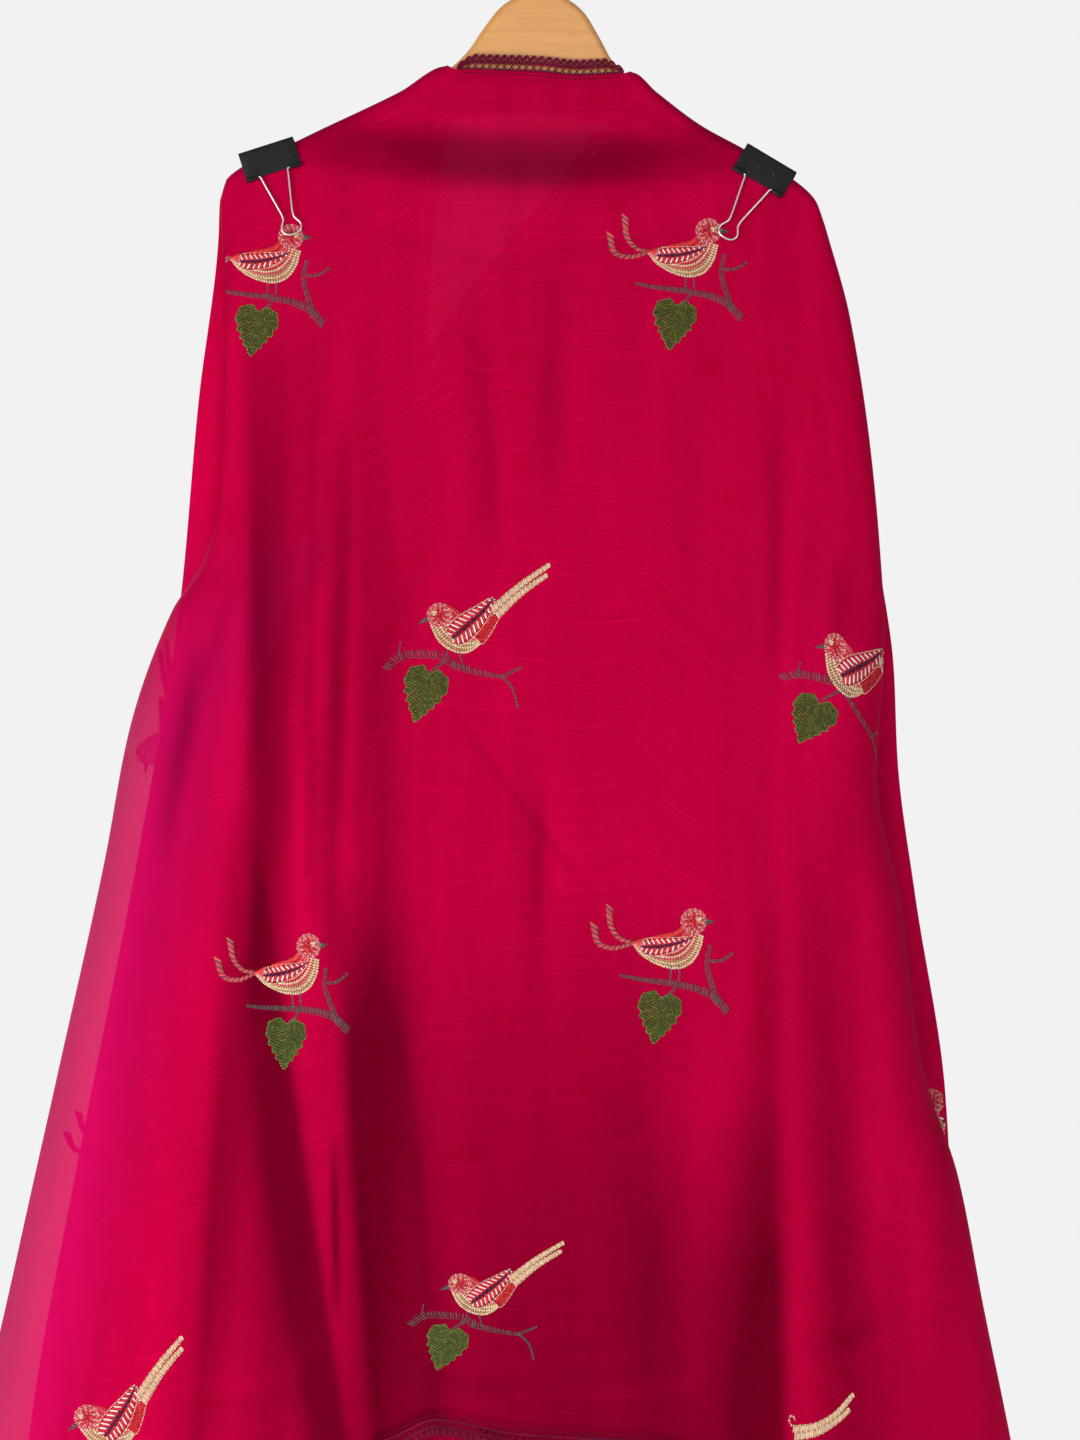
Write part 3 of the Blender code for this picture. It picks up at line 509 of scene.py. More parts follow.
    def layer_point(self, side: Side, place: Array, level: Array) -> Array:
        """Points of the inner layers at places from crease 0 to crease 2."""
        first = place <= 1
        share = np.where(first, place, place - 1)
        swing = (1 - np.cos(math.pi * share)) / 2
        sweep = share + self.layer_bulge * np.sin(2 * math.pi * share) / (2 * math.pi)
        drop = level - side.shoulder
        starts = np.where(first, along(side.crease_0, level), along(side.crease_1, level))
        stops = np.where(first, along(side.crease_1, level), along(side.crease_2, level))
        near = np.where(first, along(CREASE_0_Y, drop), along(CREASE_1_Y, drop))
        far = np.where(first, along(CREASE_1_Y, drop), along(CREASE_2_Y, drop))
        x = starts + (stops - starts) * swing
        y = near + (far - near) * sweep
        across, down = self.layer_waves
        wave = np.sin(2 * math.pi * (across * place + down * level)) * np.sin(math.pi * share) ** 2
        y = y + self.layer_wave_height * wave * np.clip(-drop / self.layer_wave_rise, 0, 1)
        return np.stack([x, y, level], axis=-1)

    def layer_grid(self, side: Side, outer_levels: Array) -> Array:
        """Points of the two inner layers; row levels at crease 0 are the near stretch's own."""
        third, rim = self.layer_columns // 3, self.layer_rim
        close = turn_steps(third) * rim
        half = np.concatenate([close, np.linspace(rim, 1 - rim, third)[1:-1], (1 - close)[::-1]])
        places = np.concatenate([half, 1 + half[1:]])
        share = (outer_levels - outer_levels[0]) / (outer_levels[-1] - outer_levels[0])
        hem = along(side.fold_hem, places)
        level = outer_levels[0] + (hem - outer_levels[0]) * share[:, None]
        return self.layer_point(side, np.broadcast_to(places, level.shape), level)

    def end_y(self, side: Side, x: Array, level: Array) -> Array:
        """y of an end: over the arm, round its crease, and its own folds."""
        shoulder_x = along(side.crease_2, side.shoulder)
        from_tip = side.inward * (x - shoulder_x)
        inside = side.inward * (x - along(side.crease_2, np.minimum(level, side.shoulder)))
        inside = np.where(level > side.shoulder, np.maximum(inside, from_tip), inside)
        below = np.where(from_tip < 0, self.wrap_rise, along(NEAR_TOP, x) - level)
        turned = quarter(inside / along(TURN_WIDTH, level))
        over = quarter(below / self.wrap_rise)
        edge = along(CREASE_2_Y, level - side.shoulder)
        lap = side.lap * along(LAP_BY_LEVEL, level) * along(LAP_BY_X, x)
        relief = self.summed(FAR_FOLDS, x, level) + self.rippled(FAR_RIPPLES, x, level)
        face = along(FAR_REACH, level) + relief + lap
        return edge + (face - edge) * turned * over

    def end_grid(self, side: Side, outline: Array) -> Array:
        """Points of an end, row by row from its outer edge to its lace edge.

        Args:
            side: the side it is on.
            outline: its outer edge, along the arm's top from the neck and down the far crease.

        Returns:
            Rows that start on the outline's points and run to the lace edge.
        """
        steps = turn_steps(self.turn_columns)
        grid = np.zeros((len(outline), len(steps) + self.end_columns, 3))
        for i, place in enumerate(outline):
            start = place[[0, 2]]
            inner = along(side.lace_level, start[1])
            stop = np.array([along(side.lace, inner), inner])
            reach = float(np.hypot(*(stop - start)))
            width = along(TURN_WIDTH, start[1]) if start[1] < side.shoulder else self.wrap_rise
            turn = min(float(width), self.most_turn * reach) / reach
            rest = np.linspace(turn, 1, self.end_columns + 1)[1:]
            points = start + (stop - start) * np.concatenate([turn * steps, rest])[:, None]
            x, level = points[:, 0], points[:, 1]
            grid[i] = np.stack([x, self.end_y(side, x, level), level], axis=-1)
            grid[i, 0] = place
        return grid


# ---- meshes
def new_mesh(name: str, points: Array, faces: Sequence[Sequence[int]]) -> Object:
    """A new smooth-shaded object at the origin from points and faces."""
    mesh = bpy.data.meshes.new(name)
    mesh.from_pydata(points.tolist(), [], [list(map(int, face)) for face in faces])
    mesh.update()
    mesh.shade_smooth()
    thing = bpy.data.objects.new(name, mesh)
    bpy.context.scene.collection.objects.link(thing)
    return thing


def dress(thing: Object, material: Material) -> Object:
    """Gives the object one material."""
    thing.data.materials.clear()
    thing.data.materials.append(material)
    return thing


def set_uv(mesh: Mesh, by_vertex: Array) -> None:
    """Writes a UV map, in metres, from one pair for each vertex."""
    corners = np.empty(len(mesh.loops), dtype=np.int32)
    mesh.loops.foreach_get("vertex_index", corners)
    layer = mesh.uv_layers.new(name="Run")
    layer.data.foreach_set("uv", by_vertex[corners].astype(np.float32).ravel())


def grid_faces(rows: int, columns: int, flipped: bool) -> Array:
    """Quads of a grid of points, turned over where flipped."""
    first = (np.arange(rows - 1)[:, None] * columns + np.arange(columns - 1)).ravel()
    quads = np.stack([first, first + columns, first + columns + 1, first + 1], axis=1)
    return quads[:, ::-1] if flipped else quads


def grid_runs(grid: Array) -> Array:
    """Distance across and down a grid at each point, for its weave."""
    across = np.cumsum(np.linalg.norm(np.diff(grid, axis=1, prepend=grid[:, :1]), axis=2), axis=1)
    down = np.cumsum(np.linalg.norm(np.diff(grid, axis=0, prepend=grid[:1]), axis=2), axis=0)
    middle = grid.shape[1] // 2
    return np.stack([across - across[:, middle : middle + 1], down], axis=-1)


class Weld:
    """Joins grids that share edges, so that their shading runs on from piece to piece."""

    same = 1e-6  # points closer than this are one

    def __init__(self, *grids: tuple[str, Array, bool]) -> None:
        """Starts on each piece's name, grid of points, and whether it is turned over."""
        self.grids = grids

    def pieces(self) -> dict[str, Object]:
        """One object for each grid, with normals worked out over all of them."""
        points = np.concatenate([grid.reshape(-1, 3) for _, grid, _ in self.grids])
        keys = np.round(points / self.same).astype(np.int64)
        _, first, index = np.unique(keys, axis=0, return_index=True, return_inverse=True)
        index = index.reshape(-1)
        places = points[first]
        normals = np.zeros_like(places)
        parts = []
        start = 0
        for name, grid, flipped in self.grids:
            count = grid.shape[0] * grid.shape[1]
            quads = index[grid_faces(*grid.shape[:2], flipped) + start]
            corners = places[quads]
            facing = np.cross(corners[:, 2] - corners[:, 0], corners[:, 3] - corners[:, 1])
            for k in range(4):
                np.add.at(normals, quads[:, k], facing)
            parts.append((name, grid, index[start : start + count], quads))
            start += count
        normals = unit(normals)
        return {name: self.piece(name, grid, own, quads, places, normals) for name, grid, own, quads in parts}

    def piece(
        self, name: str, grid: Array, own: Array, quads: Array, places: Array, normals: Array
    ) -> Object:
        """One piece's object: its points welded, empty faces left out, shared normals kept."""
        used, kept = np.unique(own, return_index=True)
        lookup = dict(zip(used.tolist(), range(len(used))))
        faces = []
        for quad in quads.tolist():
            face = [lookup[v] for k, v in enumerate(quad) if v != quad[k - 1]]
            if len(set(face)) > 2:
                faces.append(face)
        thing = new_mesh(name, places[used], faces)
        set_uv(thing.data, grid_runs(grid).reshape(-1, 2)[kept])
        thing.data.normals_split_custom_set_from_vertices(normals[used].tolist())
        return thing


def tube(route: Array, radius: float, sides: int, across: Array, start: int) -> tuple[Array, list[list[int]]]:
    """Points and faces of a closed tube round a route.

    Args:
        route: points along its middle.
        radius: of the thread.
        sides: corners of its section.
        across: a direction at each point that the section starts from.
        start: index of its first point in the joined mesh.

    Returns:
        Its points, ring by ring, and its faces.
    """
    ahead = unit(np.gradient(route, axis=0))
    aside = unit(across - ahead * np.sum(across * ahead, axis=1, keepdims=True))
    third = np.cross(ahead, aside)
    turns = 2 * math.pi * np.arange(sides) / sides
    rings = route[:, None] + radius * (
        np.cos(turns)[None, :, None] * aside[:, None] + np.sin(turns)[None, :, None] * third[:, None]
    )
    first = np.arange(len(route) - 1)[:, None] * sides
    k = np.arange(sides)
    k_next = (k + 1) % sides
    quads = np.stack([first + k, first + k_next, first + sides + k_next, first + sides + k], axis=-1)
    last = start + sides * (len(route) - 1)
    ends = [list(range(start + sides - 1, start - 1, -1)), list(range(last, last + sides))]
    return rings.reshape(-1, 3), (quads.reshape(-1, 4) + start).tolist() + ends


@dataclass(frozen=True)
class Band:
    """A strip along an edge of the cloth: the edge's points, the way out, and the face's normal."""

    edge: Array
    out: Array
    normal: Array

    @classmethod
    def beside(cls, edge: Array, behind: Array) -> "Band":
        """The strip beyond an edge, away from the points behind it."""
        run = unit(np.gradient(edge, axis=0))
        out = edge - behind
        out = unit(out - run * np.sum(out * run, axis=1, keepdims=True))
        return cls(edge, out, unit(np.cross(out, run)))

    def length(self) -> float:
        """Length of the edge."""
        return float(lengths(self.edge)[-1])

    def place(self, at: Array, off: Array, proud: Array) -> Array:
        """Points at distances along the edge, out from it, and proud of its face."""
        run = lengths(self.edge)
        read = [
            np.stack([np.interp(at, run, line[:, k]) for k in range(3)], axis=1)
            for line in (self.edge, self.out, self.normal)
        ]
        return read[0] + unit(read[1]) * off[:, None] + unit(read[2]) * proud[:, None]


# ---- finishes
class Sockets(Enum):
    """Kinds of socket that a shader group has."""

    NUMBER = "NodeSocketFloat"
    VECTOR = "NodeSocketVector"


class NodeBuilder:
    """Places and links the nodes of one tree."""

    def __init__(self, tree: Tree) -> None:
        """Starts on a tree."""
        self.tree = tree

    def feed(self, node: Node, inputs: dict[str | int, object]) -> None:
        """Gives a node's inputs their values, or the sockets that feed them."""
        for key, value in inputs.items():
            if isinstance(value, Socket):
                self.tree.links.new(value, node.inputs[key])
            else:
                node.inputs[key].default_value = value

    def add(self, kind: str, inputs: dict[str | int, object] | None = None, **settings: object) -> Node:
        """A node with its settings, and its inputs given as values or as sockets to link.

        Args:
            kind: the node's type name.
            inputs: values or sockets, by input name or number.
            settings: the node's own properties.

        Returns:
            The new node.
        """
        node = self.tree.nodes.new(kind)
        for name, value in settings.items():
            setattr(node, name, value)
        self.feed(node, inputs or {})
        return node

    def coordinates(self, kind: str = "Object") -> Socket:
        """A piece's own coordinates, of one kind."""
        return self.add("ShaderNodeTexCoord").outputs[kind]

    def maths(self, operation: str, *values: object) -> Socket:
        """Result of a Math node."""
        return self.add("ShaderNodeMath", dict(enumerate(values)), operation=operation).outputs[0]

    def noise(self, vector: Socket, scale: float | Place, detail: float, rough: float = 0.5) -> Socket:
        """Value of a Noise node; three scales stretch it."""
        if isinstance(scale, tuple):
            vector, scale = self.stretched(vector, scale), 1.0
        inputs = {"Vector": vector, "Scale": scale, "Detail": detail, "Roughness": rough}
        return self.add("ShaderNodeTexNoise", inputs).outputs["Fac"]

    def stretched(self, vector: Socket, scale: Place) -> Socket:
        """A vector scaled by a Mapping node."""
        return self.add("ShaderNodeMapping", {"Vector": vector, "Scale": scale}).outputs[0]

    def blend(self, share: object, first: object, second: object, how: str = "MIX") -> Socket:
        """Mix of two colours, each a socket or a value."""
        first, second = (part if isinstance(part, Socket) else (*part, 1.0) for part in (first, second))
        inputs = {0: share, 6: first, 7: second}
        return self.add("ShaderNodeMix", inputs, data_type="RGBA", blend_type=how).outputs[2]

    def ramp(self, value: Socket, low: float, high: float) -> Socket:
        """A value spread from 0 at low to 1 at high."""
        inputs = {"Value": value, "From Min": low, "From Max": high}
        return self.add("ShaderNodeMapRange", inputs, clamp=True).outputs[0]

    def bump(self, height: Socket, strength: float, distance: float) -> Socket:
        """Normals that a height gives."""
        inputs = {"Height": height, "Strength": strength, "Distance": distance}
        return self.add("ShaderNodeBump", inputs).outputs[0]


def shader_group(
    name: str, inputs: dict[str, tuple[Sockets, object]], outputs: Sequence[str]
) -> tuple[Tree, NodeBuilder, Node, Node]:
    """A new shader group with its sockets.

    Args:
        name: the group's name.
        inputs: kind and default value of each input.
        outputs: names of the outputs, all of them numbers.

    Returns:
        The tree, a builder on it, and its input and output nodes.
    """
    tree = bpy.data.node_groups.new(name, "ShaderNodeTree")
    for title, (kind, value) in inputs.items():
        socket = tree.interface.new_socket(title, in_out="INPUT", socket_type=kind.value)
        if kind is Sockets.NUMBER:
            socket.default_value = value
    for title in outputs:
        tree.interface.new_socket(title, in_out="OUTPUT", socket_type=Sockets.NUMBER.value)
    build = NodeBuilder(tree)
    return tree, build, build.add("NodeGroupInput"), build.add("NodeGroupOutput")


@cache
def weave_group() -> Tree:
    """Crepe weave: long thin slubs across, a fine grain down, and slow unevenness.

    Returns:
        A group that turns a UV in metres into Tone, Open and Height.
    """
    inputs = {"Run": (Sockets.VECTOR, None), "Slub": (Sockets.NUMBER, 0.5)}
    tree, build, given, made = shader_group("CrepeWeave", inputs, ("Tone", "Open", "Height"))
    run = given.outputs["Run"]
    weft = build.noise(run, (26.0, 820.0, 1.0), 2.0, 0.6)
    warp = build.noise(run, (900.0, 34.0, 1.0), 1.5)
    long_slub = build.noise(run, (5.0, 330.0, 1.0), 1.0)
    slow = build.noise(run, (11.0, 4.0, 1.0), 3.0, 0.55)
    threads = build.maths("MULTIPLY_ADD", weft, 0.55, build.maths("MULTIPLY", warp, 0.25))
    slubs = build.maths("MULTIPLY", build.ramp(long_slub, 0.52, 0.8), given.outputs["Slub"])
    tone = build.maths("MULTIPLY_ADD", slow, 0.3, threads)
    tone = build.maths("ADD", tone, build.maths("MULTIPLY", slubs, 0.35))
    shown_open, height = build.ramp(threads, 0.28, 0.62), build.maths("ADD", threads, slubs)
    build.feed(made, {"Tone": build.ramp(tone, 0.25, 0.95), "Open": shown_open, "Height": height})
    return tree


@cache
def wear_group() -> Tree:
    """Scuffs and rubbed spots on a hard finish, from Object coordinates."""
    inputs = {"Place": (Sockets.VECTOR, None), "Amount": (Sockets.NUMBER, 0.5)}
    tree, build, given, made = shader_group("Scuffs", inputs, ("Bare", "Dull", "Height"))
    place = given.outputs["Place"]
    scratch = build.noise(place, (900.0, 900.0, 120.0), 2.0, 0.7)
    patch = build.noise(place, 95.0, 3.0, 0.6)
    fine = build.noise(place, 1400.0, 2.0)
    bare = build.maths("MULTIPLY", build.ramp(scratch, 0.66, 0.72), build.ramp(patch, 0.56, 0.66))
    rubbed = build.maths("MULTIPLY", bare, given.outputs["Amount"])
    height = build.maths("SUBTRACT", fine, bare)
    build.feed(made, {"Bare": rubbed, "Dull": build.ramp(patch, 0.3, 0.7), "Height": height})
    return tree


def new_material(name: str) -> tuple[Material, NodeBuilder, Node, Node]:
    """A node material with its Principled shader and output."""
    material = bpy.data.materials.new(name)
    material.use_nodes = True
    nodes = material.node_tree.nodes
    return material, NodeBuilder(material.node_tree), nodes["Principled BSDF"], nodes["Material Output"]


@dataclass(frozen=True)
class Silk:
    """Sheer crepe with a silky, coloured sheen; it lets more light through where it is taut, its colour is
    painted pinker there as sheen, and its folds carry painted shade.
    """

    name: str = "crimson_crepe"
    deep: Colour = (0.35, 0.0002, 0.024)
    light: Colour = (0.56, 0.0008, 0.056)
    through: Colour = (0.85, 0.001, 0.2)
    stretched: Colour = (0.46, 0.002, 0.08)  # painted sheen: the pinker colour where it is taut
    taut: Point = (0.78, 0.86)  # least and most cover at the outer creases
    slack: Point = (0.996, 1.0)  # the same elsewhere
    painted_shade_strength: float = 0.68  # painted shade: how much darker a deep trough is painted
    painted_highlight: float = 0.22  # painted highlight: how much brighter a crest is painted
    uneven: float = 0.36  # how far its colour wanders in long faint streaks
    streaks: Place = (46.0, 12.0, 7.0)
    slub: float = 0.6
    glow: float = 0.05
    metallic: float = 0.22
    roughness: Point = (0.52, 0.66)

    def make(self) -> Material:
        """The finished material."""
        material, build, shader, output = new_material(self.name)
        inputs = {"Run": build.coordinates("UV"), "Slub": self.slub}
        weave = build.add("ShaderNodeGroup", inputs, node_tree=weave_group())
        tone, threads = weave.outputs["Tone"], weave.outputs["Open"]
        cover = build.add("ShaderNodeAttribute", attribute_name="Cover").outputs["Fac"]
        hollow = build.add("ShaderNodeAttribute", attribute_name="Hollow").outputs["Fac"]
        # painted shade and highlight from the Hollow attribute, multiplied into the colour with random long
        # streaks of tone
        dim = build.maths("MULTIPLY", build.maths("MAXIMUM", hollow, 0.0), self.painted_shade_strength)
        gain = build.maths("MULTIPLY", build.maths("MINIMUM", hollow, 0.0), self.painted_highlight)
        share = build.maths("SUBTRACT", build.maths("SUBTRACT", 1.0, dim), gain)
        streak = build.noise(build.coordinates(), self.streaks, 4.0, 0.6)
        wander = build.maths("MULTIPLY_ADD", streak, self.uneven, 1 - self.uneven / 2)
        share = build.maths("MULTIPLY", share, wander)
        grey = build.add("ShaderNodeCombineColor", {0: share, 1: share, 2: share}).outputs[0]
        # where the cover is low, at the taut strips, the colour turns to the painted sheen colour
        colour = build.blend(cover, self.stretched, build.blend(tone, self.deep, self.light))
        thin, thick = (
            build.maths("MULTIPLY_ADD", threads, most - least, least)
            for least, most in (self.taut, self.slack)
        )
        gain = build.maths("MULTIPLY", cover, build.maths("SUBTRACT", thick, thin))
        low, high = self.roughness
        looks = {
            "Base Color": build.blend(1.0, colour, grey, "MULTIPLY"),
            "Roughness": build.maths("MULTIPLY_ADD", tone, high - low, low),
            "Alpha": build.maths("ADD", thin, gain),
            "Metallic": self.metallic,
            "Specular IOR Level": 0.0,
            "Normal": build.bump(weave.outputs["Height"], 0.35, 0.0004),
        }
        build.feed(shader, looks)
        glow = build.add("ShaderNodeBsdfTranslucent", {"Color": (*self.through, 1.0)})
        mixed = build.add("ShaderNodeMixShader", {0: self.glow, 1: shader.outputs[0], 2: glow.outputs[0]})
        build.feed(output, {"Surface": mixed.outputs[0]})
        return material


@dataclass(frozen=True)
class Thread:
    """Matt spun thread in one colour."""

    name: str
    deep: Colour
    light: Colour
    roughness: float = 0.62

    def make(self) -> Material:
        """The finished material."""
        material, build, shader, _ = new_material(self.name)
        place = build.coordinates()
        fibre = build.noise(place, 1500.0, 2.0, 0.6)
        tint = build.noise(place, 60.0, 2.0)
        tone = build.maths("MULTIPLY_ADD", fibre, 0.6, build.maths("MULTIPLY", tint, 0.5))
        looks = {
            "Base Color": build.blend(build.ramp(tone, 0.35, 0.8), self.deep, self.light),
            "Roughness": build.maths("MULTIPLY_ADD", fibre, 0.25, self.roughness - 0.12),
            "Specular IOR Level": 0.12,
            "Normal": build.bump(fibre, 0.5, 0.0003),
        }
        build.feed(shader, looks)
        return material


@dataclass(frozen=True)
class Floss:
    """Shiny embroidery thread that takes each stitch's own colour."""

    name: str = "embroidery_floss"
    dull: Colour = (0.62, 0.62, 0.62)  # what the dark side of a fibre leaves of the colour
    roughness: float = 0.42

    def make(self) -> Material:
        """The finished material."""
        material, build, shader, _ = new_material(self.name)
        tint = build.add("ShaderNodeVertexColor", layer_name="Thread").outputs["Color"]
        fibre = build.noise(build.coordinates(), 2600.0, 2.0, 0.6)
        shade = build.blend(build.ramp(fibre, 0.3, 0.7), self.dull, (1.0, 1.0, 1.0))
        looks = {
            "Base Color": build.blend(1.0, tint, shade, "MULTIPLY"),
            "Roughness": build.maths("MULTIPLY_ADD", fibre, 0.2, self.roughness - 0.1),
            "Specular IOR Level": 0.4,
            "Normal": build.bump(fibre, 0.4, 0.0002),
        }
        build.feed(shader, looks)
        return material


HANGER_TILT = math.radians(3.15)


@dataclass(frozen=True)
class Wood:
    """Pale lacquered hanger wood with grain along the arms."""

    name: str = "lacquered_wood"
    pale: Colour = (0.7, 0.335, 0.095)
    brown: Colour = (0.61, 0.275, 0.07)
    pore: Colour = (0.32, 0.15, 0.05)
    scuffs: float = 0.4

    def make(self) -> Material:
        """The finished material."""
        material, build, shader, _ = new_material(self.name)
        place = build.coordinates()
        inputs = {"Vector": place, "Rotation": (0.0, -HANGER_TILT, 0.0)}
        turned = build.add("ShaderNodeMapping", inputs).outputs[0]
        bend = build.noise(turned, (6.0, 9.0, 14.0), 2.0)
        lines = build.stretched(turned, (14.0, 240.0, 420.0))
        rise = build.add("ShaderNodeCombineXYZ", {"Z": build.maths("MULTIPLY", bend, 9.0)}).outputs[0]
        bent = build.add("ShaderNodeVectorMath", {0: lines, 1: rise}, operation="ADD").outputs[0]
        grain = build.noise(bent, 1.0, 4.0, 0.55)
        pore = build.noise(turned, (90.0, 1500.0, 1500.0), 1.0)
        tone = build.maths("MULTIPLY", bend, 0.3)
        tone = build.maths("MULTIPLY_ADD", build.ramp(grain, 0.35, 0.68), 0.75, tone)
        colour = build.blend(build.ramp(tone, 0.1, 1.0), self.brown, self.pale)
        pores = build.maths("MULTIPLY", build.ramp(pore, 0.62, 0.75), 0.3)
        inputs = {"Place": place, "Amount": self.scuffs}
        wear = build.add("ShaderNodeGroup", inputs, node_tree=wear_group())
        height = build.maths("MULTIPLY_ADD", grain, 0.6, build.maths("MULTIPLY", pore, 0.4))
        looks = {
            "Base Color": build.blend(pores, colour, self.pore),
            "Roughness": build.maths("MULTIPLY_ADD", wear.outputs["Dull"], 0.14, 0.24),
            "Normal": build.bump(height, 0.16, 0.0003),
            "Coat Weight": 0.35,
            "Coat Roughness": 0.18,
        }
        build.feed(shader, looks)
        return material


@dataclass(frozen=True)
class Metal:
    """Steel, bare or under paint, with scuffs."""

    name: str
    colour: Colour
    bare: Colour
    metallic: float
    roughness: float
    scuffs: float
    specular: float = 0.5

    def make(self) -> Material:
        """The finished material."""
        material, build, shader, _ = new_material(self.name)
        place = build.coordinates()
        inputs = {"Place": place, "Amount": self.scuffs}
        wear = build.add("ShaderNodeGroup", inputs, node_tree=wear_group())
        bare, dull, height = (wear.outputs[name] for name in ("Bare", "Dull", "Height"))
        dark = tuple(0.82 * part for part in self.colour)
        colour = build.blend(build.noise(place, 260.0, 3.0, 0.6), dark, self.colour)
        looks = {
            "Base Color": build.blend(bare, colour, self.bare),
            "Metallic": build.maths("MULTIPLY_ADD", bare, 1.0 - self.metallic, self.metallic),
            "Roughness": build.maths("MULTIPLY_ADD", dull, 0.16, self.roughness - 0.08),
            "Specular IOR Level": self.specular,
            "Normal": build.bump(height, 0.12, 0.0002),
        }
        build.feed(shader, looks)
        return material


LACE_THREAD = Thread("maroon_lace_thread", (0.06, 0.0004, 0.01), (0.24, 0.002, 0.042))
SEAM_THREAD = Thread("dark_seam_thread", (0.1, 0.001, 0.014), (0.2, 0.002, 0.03))
BLACK_PAINT = Metal("black_paint", (0.006, 0.006, 0.007), (0.3, 0.28, 0.26), 0.0, 0.5, 0.8, 0.22)
BRIGHT_STEEL = Metal("bright_steel", (0.72, 0.7, 0.67), (0.8, 0.78, 0.75), 1.0, 0.26, 0.5)


# ---- embroidery
def shown(red: int, green: int, blue: int) -> Colour:
    """Linear colour of a thread from its shade as seen on a screen, 0 to 255."""
    return tuple(
        part / 12.92 if part <= 0.04045 else ((part + 0.055) / 1.055) ** 2.4
        for part in (red / 255, green / 255, blue / 255)
    )


class Tint(Enum):
    """Colours of the embroidery threads."""

    ROSE = shown(238, 104, 118)
    BLUSH = shown(250, 176, 168)
    CORAL = shown(232, 52, 54)
    RED = shown(206, 12, 34)
    CREAM = shown(252, 228, 190)
    GOLD = shown(214, 166, 112)
    WHITE = shown(255, 240, 244)
    NAVY = shown(26, 26, 76)
    SLATE = shown(92, 84, 90)
    BARK = shown(118, 90, 92)
    DARK_BARK = shown(84, 62, 68)
    OLIVE = shown(98, 110, 28)
    DEEP_OLIVE = shown(70, 78, 20)
    LEAF_EDGE = shown(122, 144, 50)
    BEAK = shown(96, 98, 74)


Path = Sequence[Point] | Array
STRAY = 0.09  # how far a stitch's ends stray, in millimetres
SPUN = (0.9, 1.1)  # least and most of a thread's width
GAP = 0.07  # share of a running stitch that stays under the cloth at each end
BRANCH_TINTS = (Tint.BARK, Tint.SLATE, Tint.BARK, Tint.DARK_BARK)
BARB_TINTS = (Tint.WHITE, Tint.RED, Tint.CORAL, Tint.RED)
BELLY_TINTS = (Tint.CREAM, Tint.GOLD)
COAT_TINTS = (Tint.ROSE, Tint.CREAM, Tint.CORAL, Tint.BLUSH) + (Tint.CORAL, Tint.ROSE) * 2 + (Tint.CORAL,)
HEAD_TINTS = (Tint.BLUSH, Tint.ROSE, Tint.BLUSH, Tint.CORAL, Tint.ROSE, Tint.RED, Tint.CORAL)
LEAF_TINTS = (Tint.OLIVE, Tint.DEEP_OLIVE, Tint.DEEP_OLIVE)
# Edge of half a leaf: shares of the way to its tip, and of its spread
LEAF_TEETH = (
    (0.06, 0.0), (-0.08, 0.34), (0.03, 0.88), (0.3, 1.0), (0.4, 0.78), (0.5, 0.86), (0.54, 0.6),
    (0.65, 0.64), (0.68, 0.42), (0.79, 0.42), (0.82, 0.22), (0.9, 0.18), (1.0, 0.0),
)


def smooth_path(points: Path, step: float) -> Array:
    """Points at even steps along a smooth curve through the given ones, in millimetres."""
    corners = np.array(points, float)
    if len(corners) > 2:
        padded = np.concatenate([[2 * corners[0] - corners[1]], corners, [2 * corners[-1] - corners[-2]]])
        t = np.linspace(0, 1, 9)[:-1, None]
        spans = []
        for a, b, c, d in zip(padded, padded[1:], padded[2:], padded[3:]):
            bend, twist = 2 * a - 5 * b + 4 * c - d, 3 * b - a - 3 * c + d
            spans.append(0.5 * (2 * b + (c - a) * t + bend * t**2 + twist * t**3))
        corners = np.concatenate([*spans, corners[-1:]])
    run = lengths(corners)
    at = np.linspace(0, run[-1], max(2, round(run[-1] / step) + 1))
    return np.stack([np.interp(at, run, corners[:, k]) for k in range(2)], axis=1)


def quarter_turned(ahead: Array) -> Array:
    """Flat vectors turned a quarter to the left."""
    return np.stack([-ahead[..., 1], ahead[..., 0]], axis=-1)


def framed(points: Path, step: float) -> tuple[Array, Array, Array]:
    """Points at even steps along a path, and the unit vectors ahead and aside at each."""
    path = smooth_path(points, step)
    ahead = unit(np.gradient(path, axis=0))
    return path, ahead, quarter_turned(ahead)


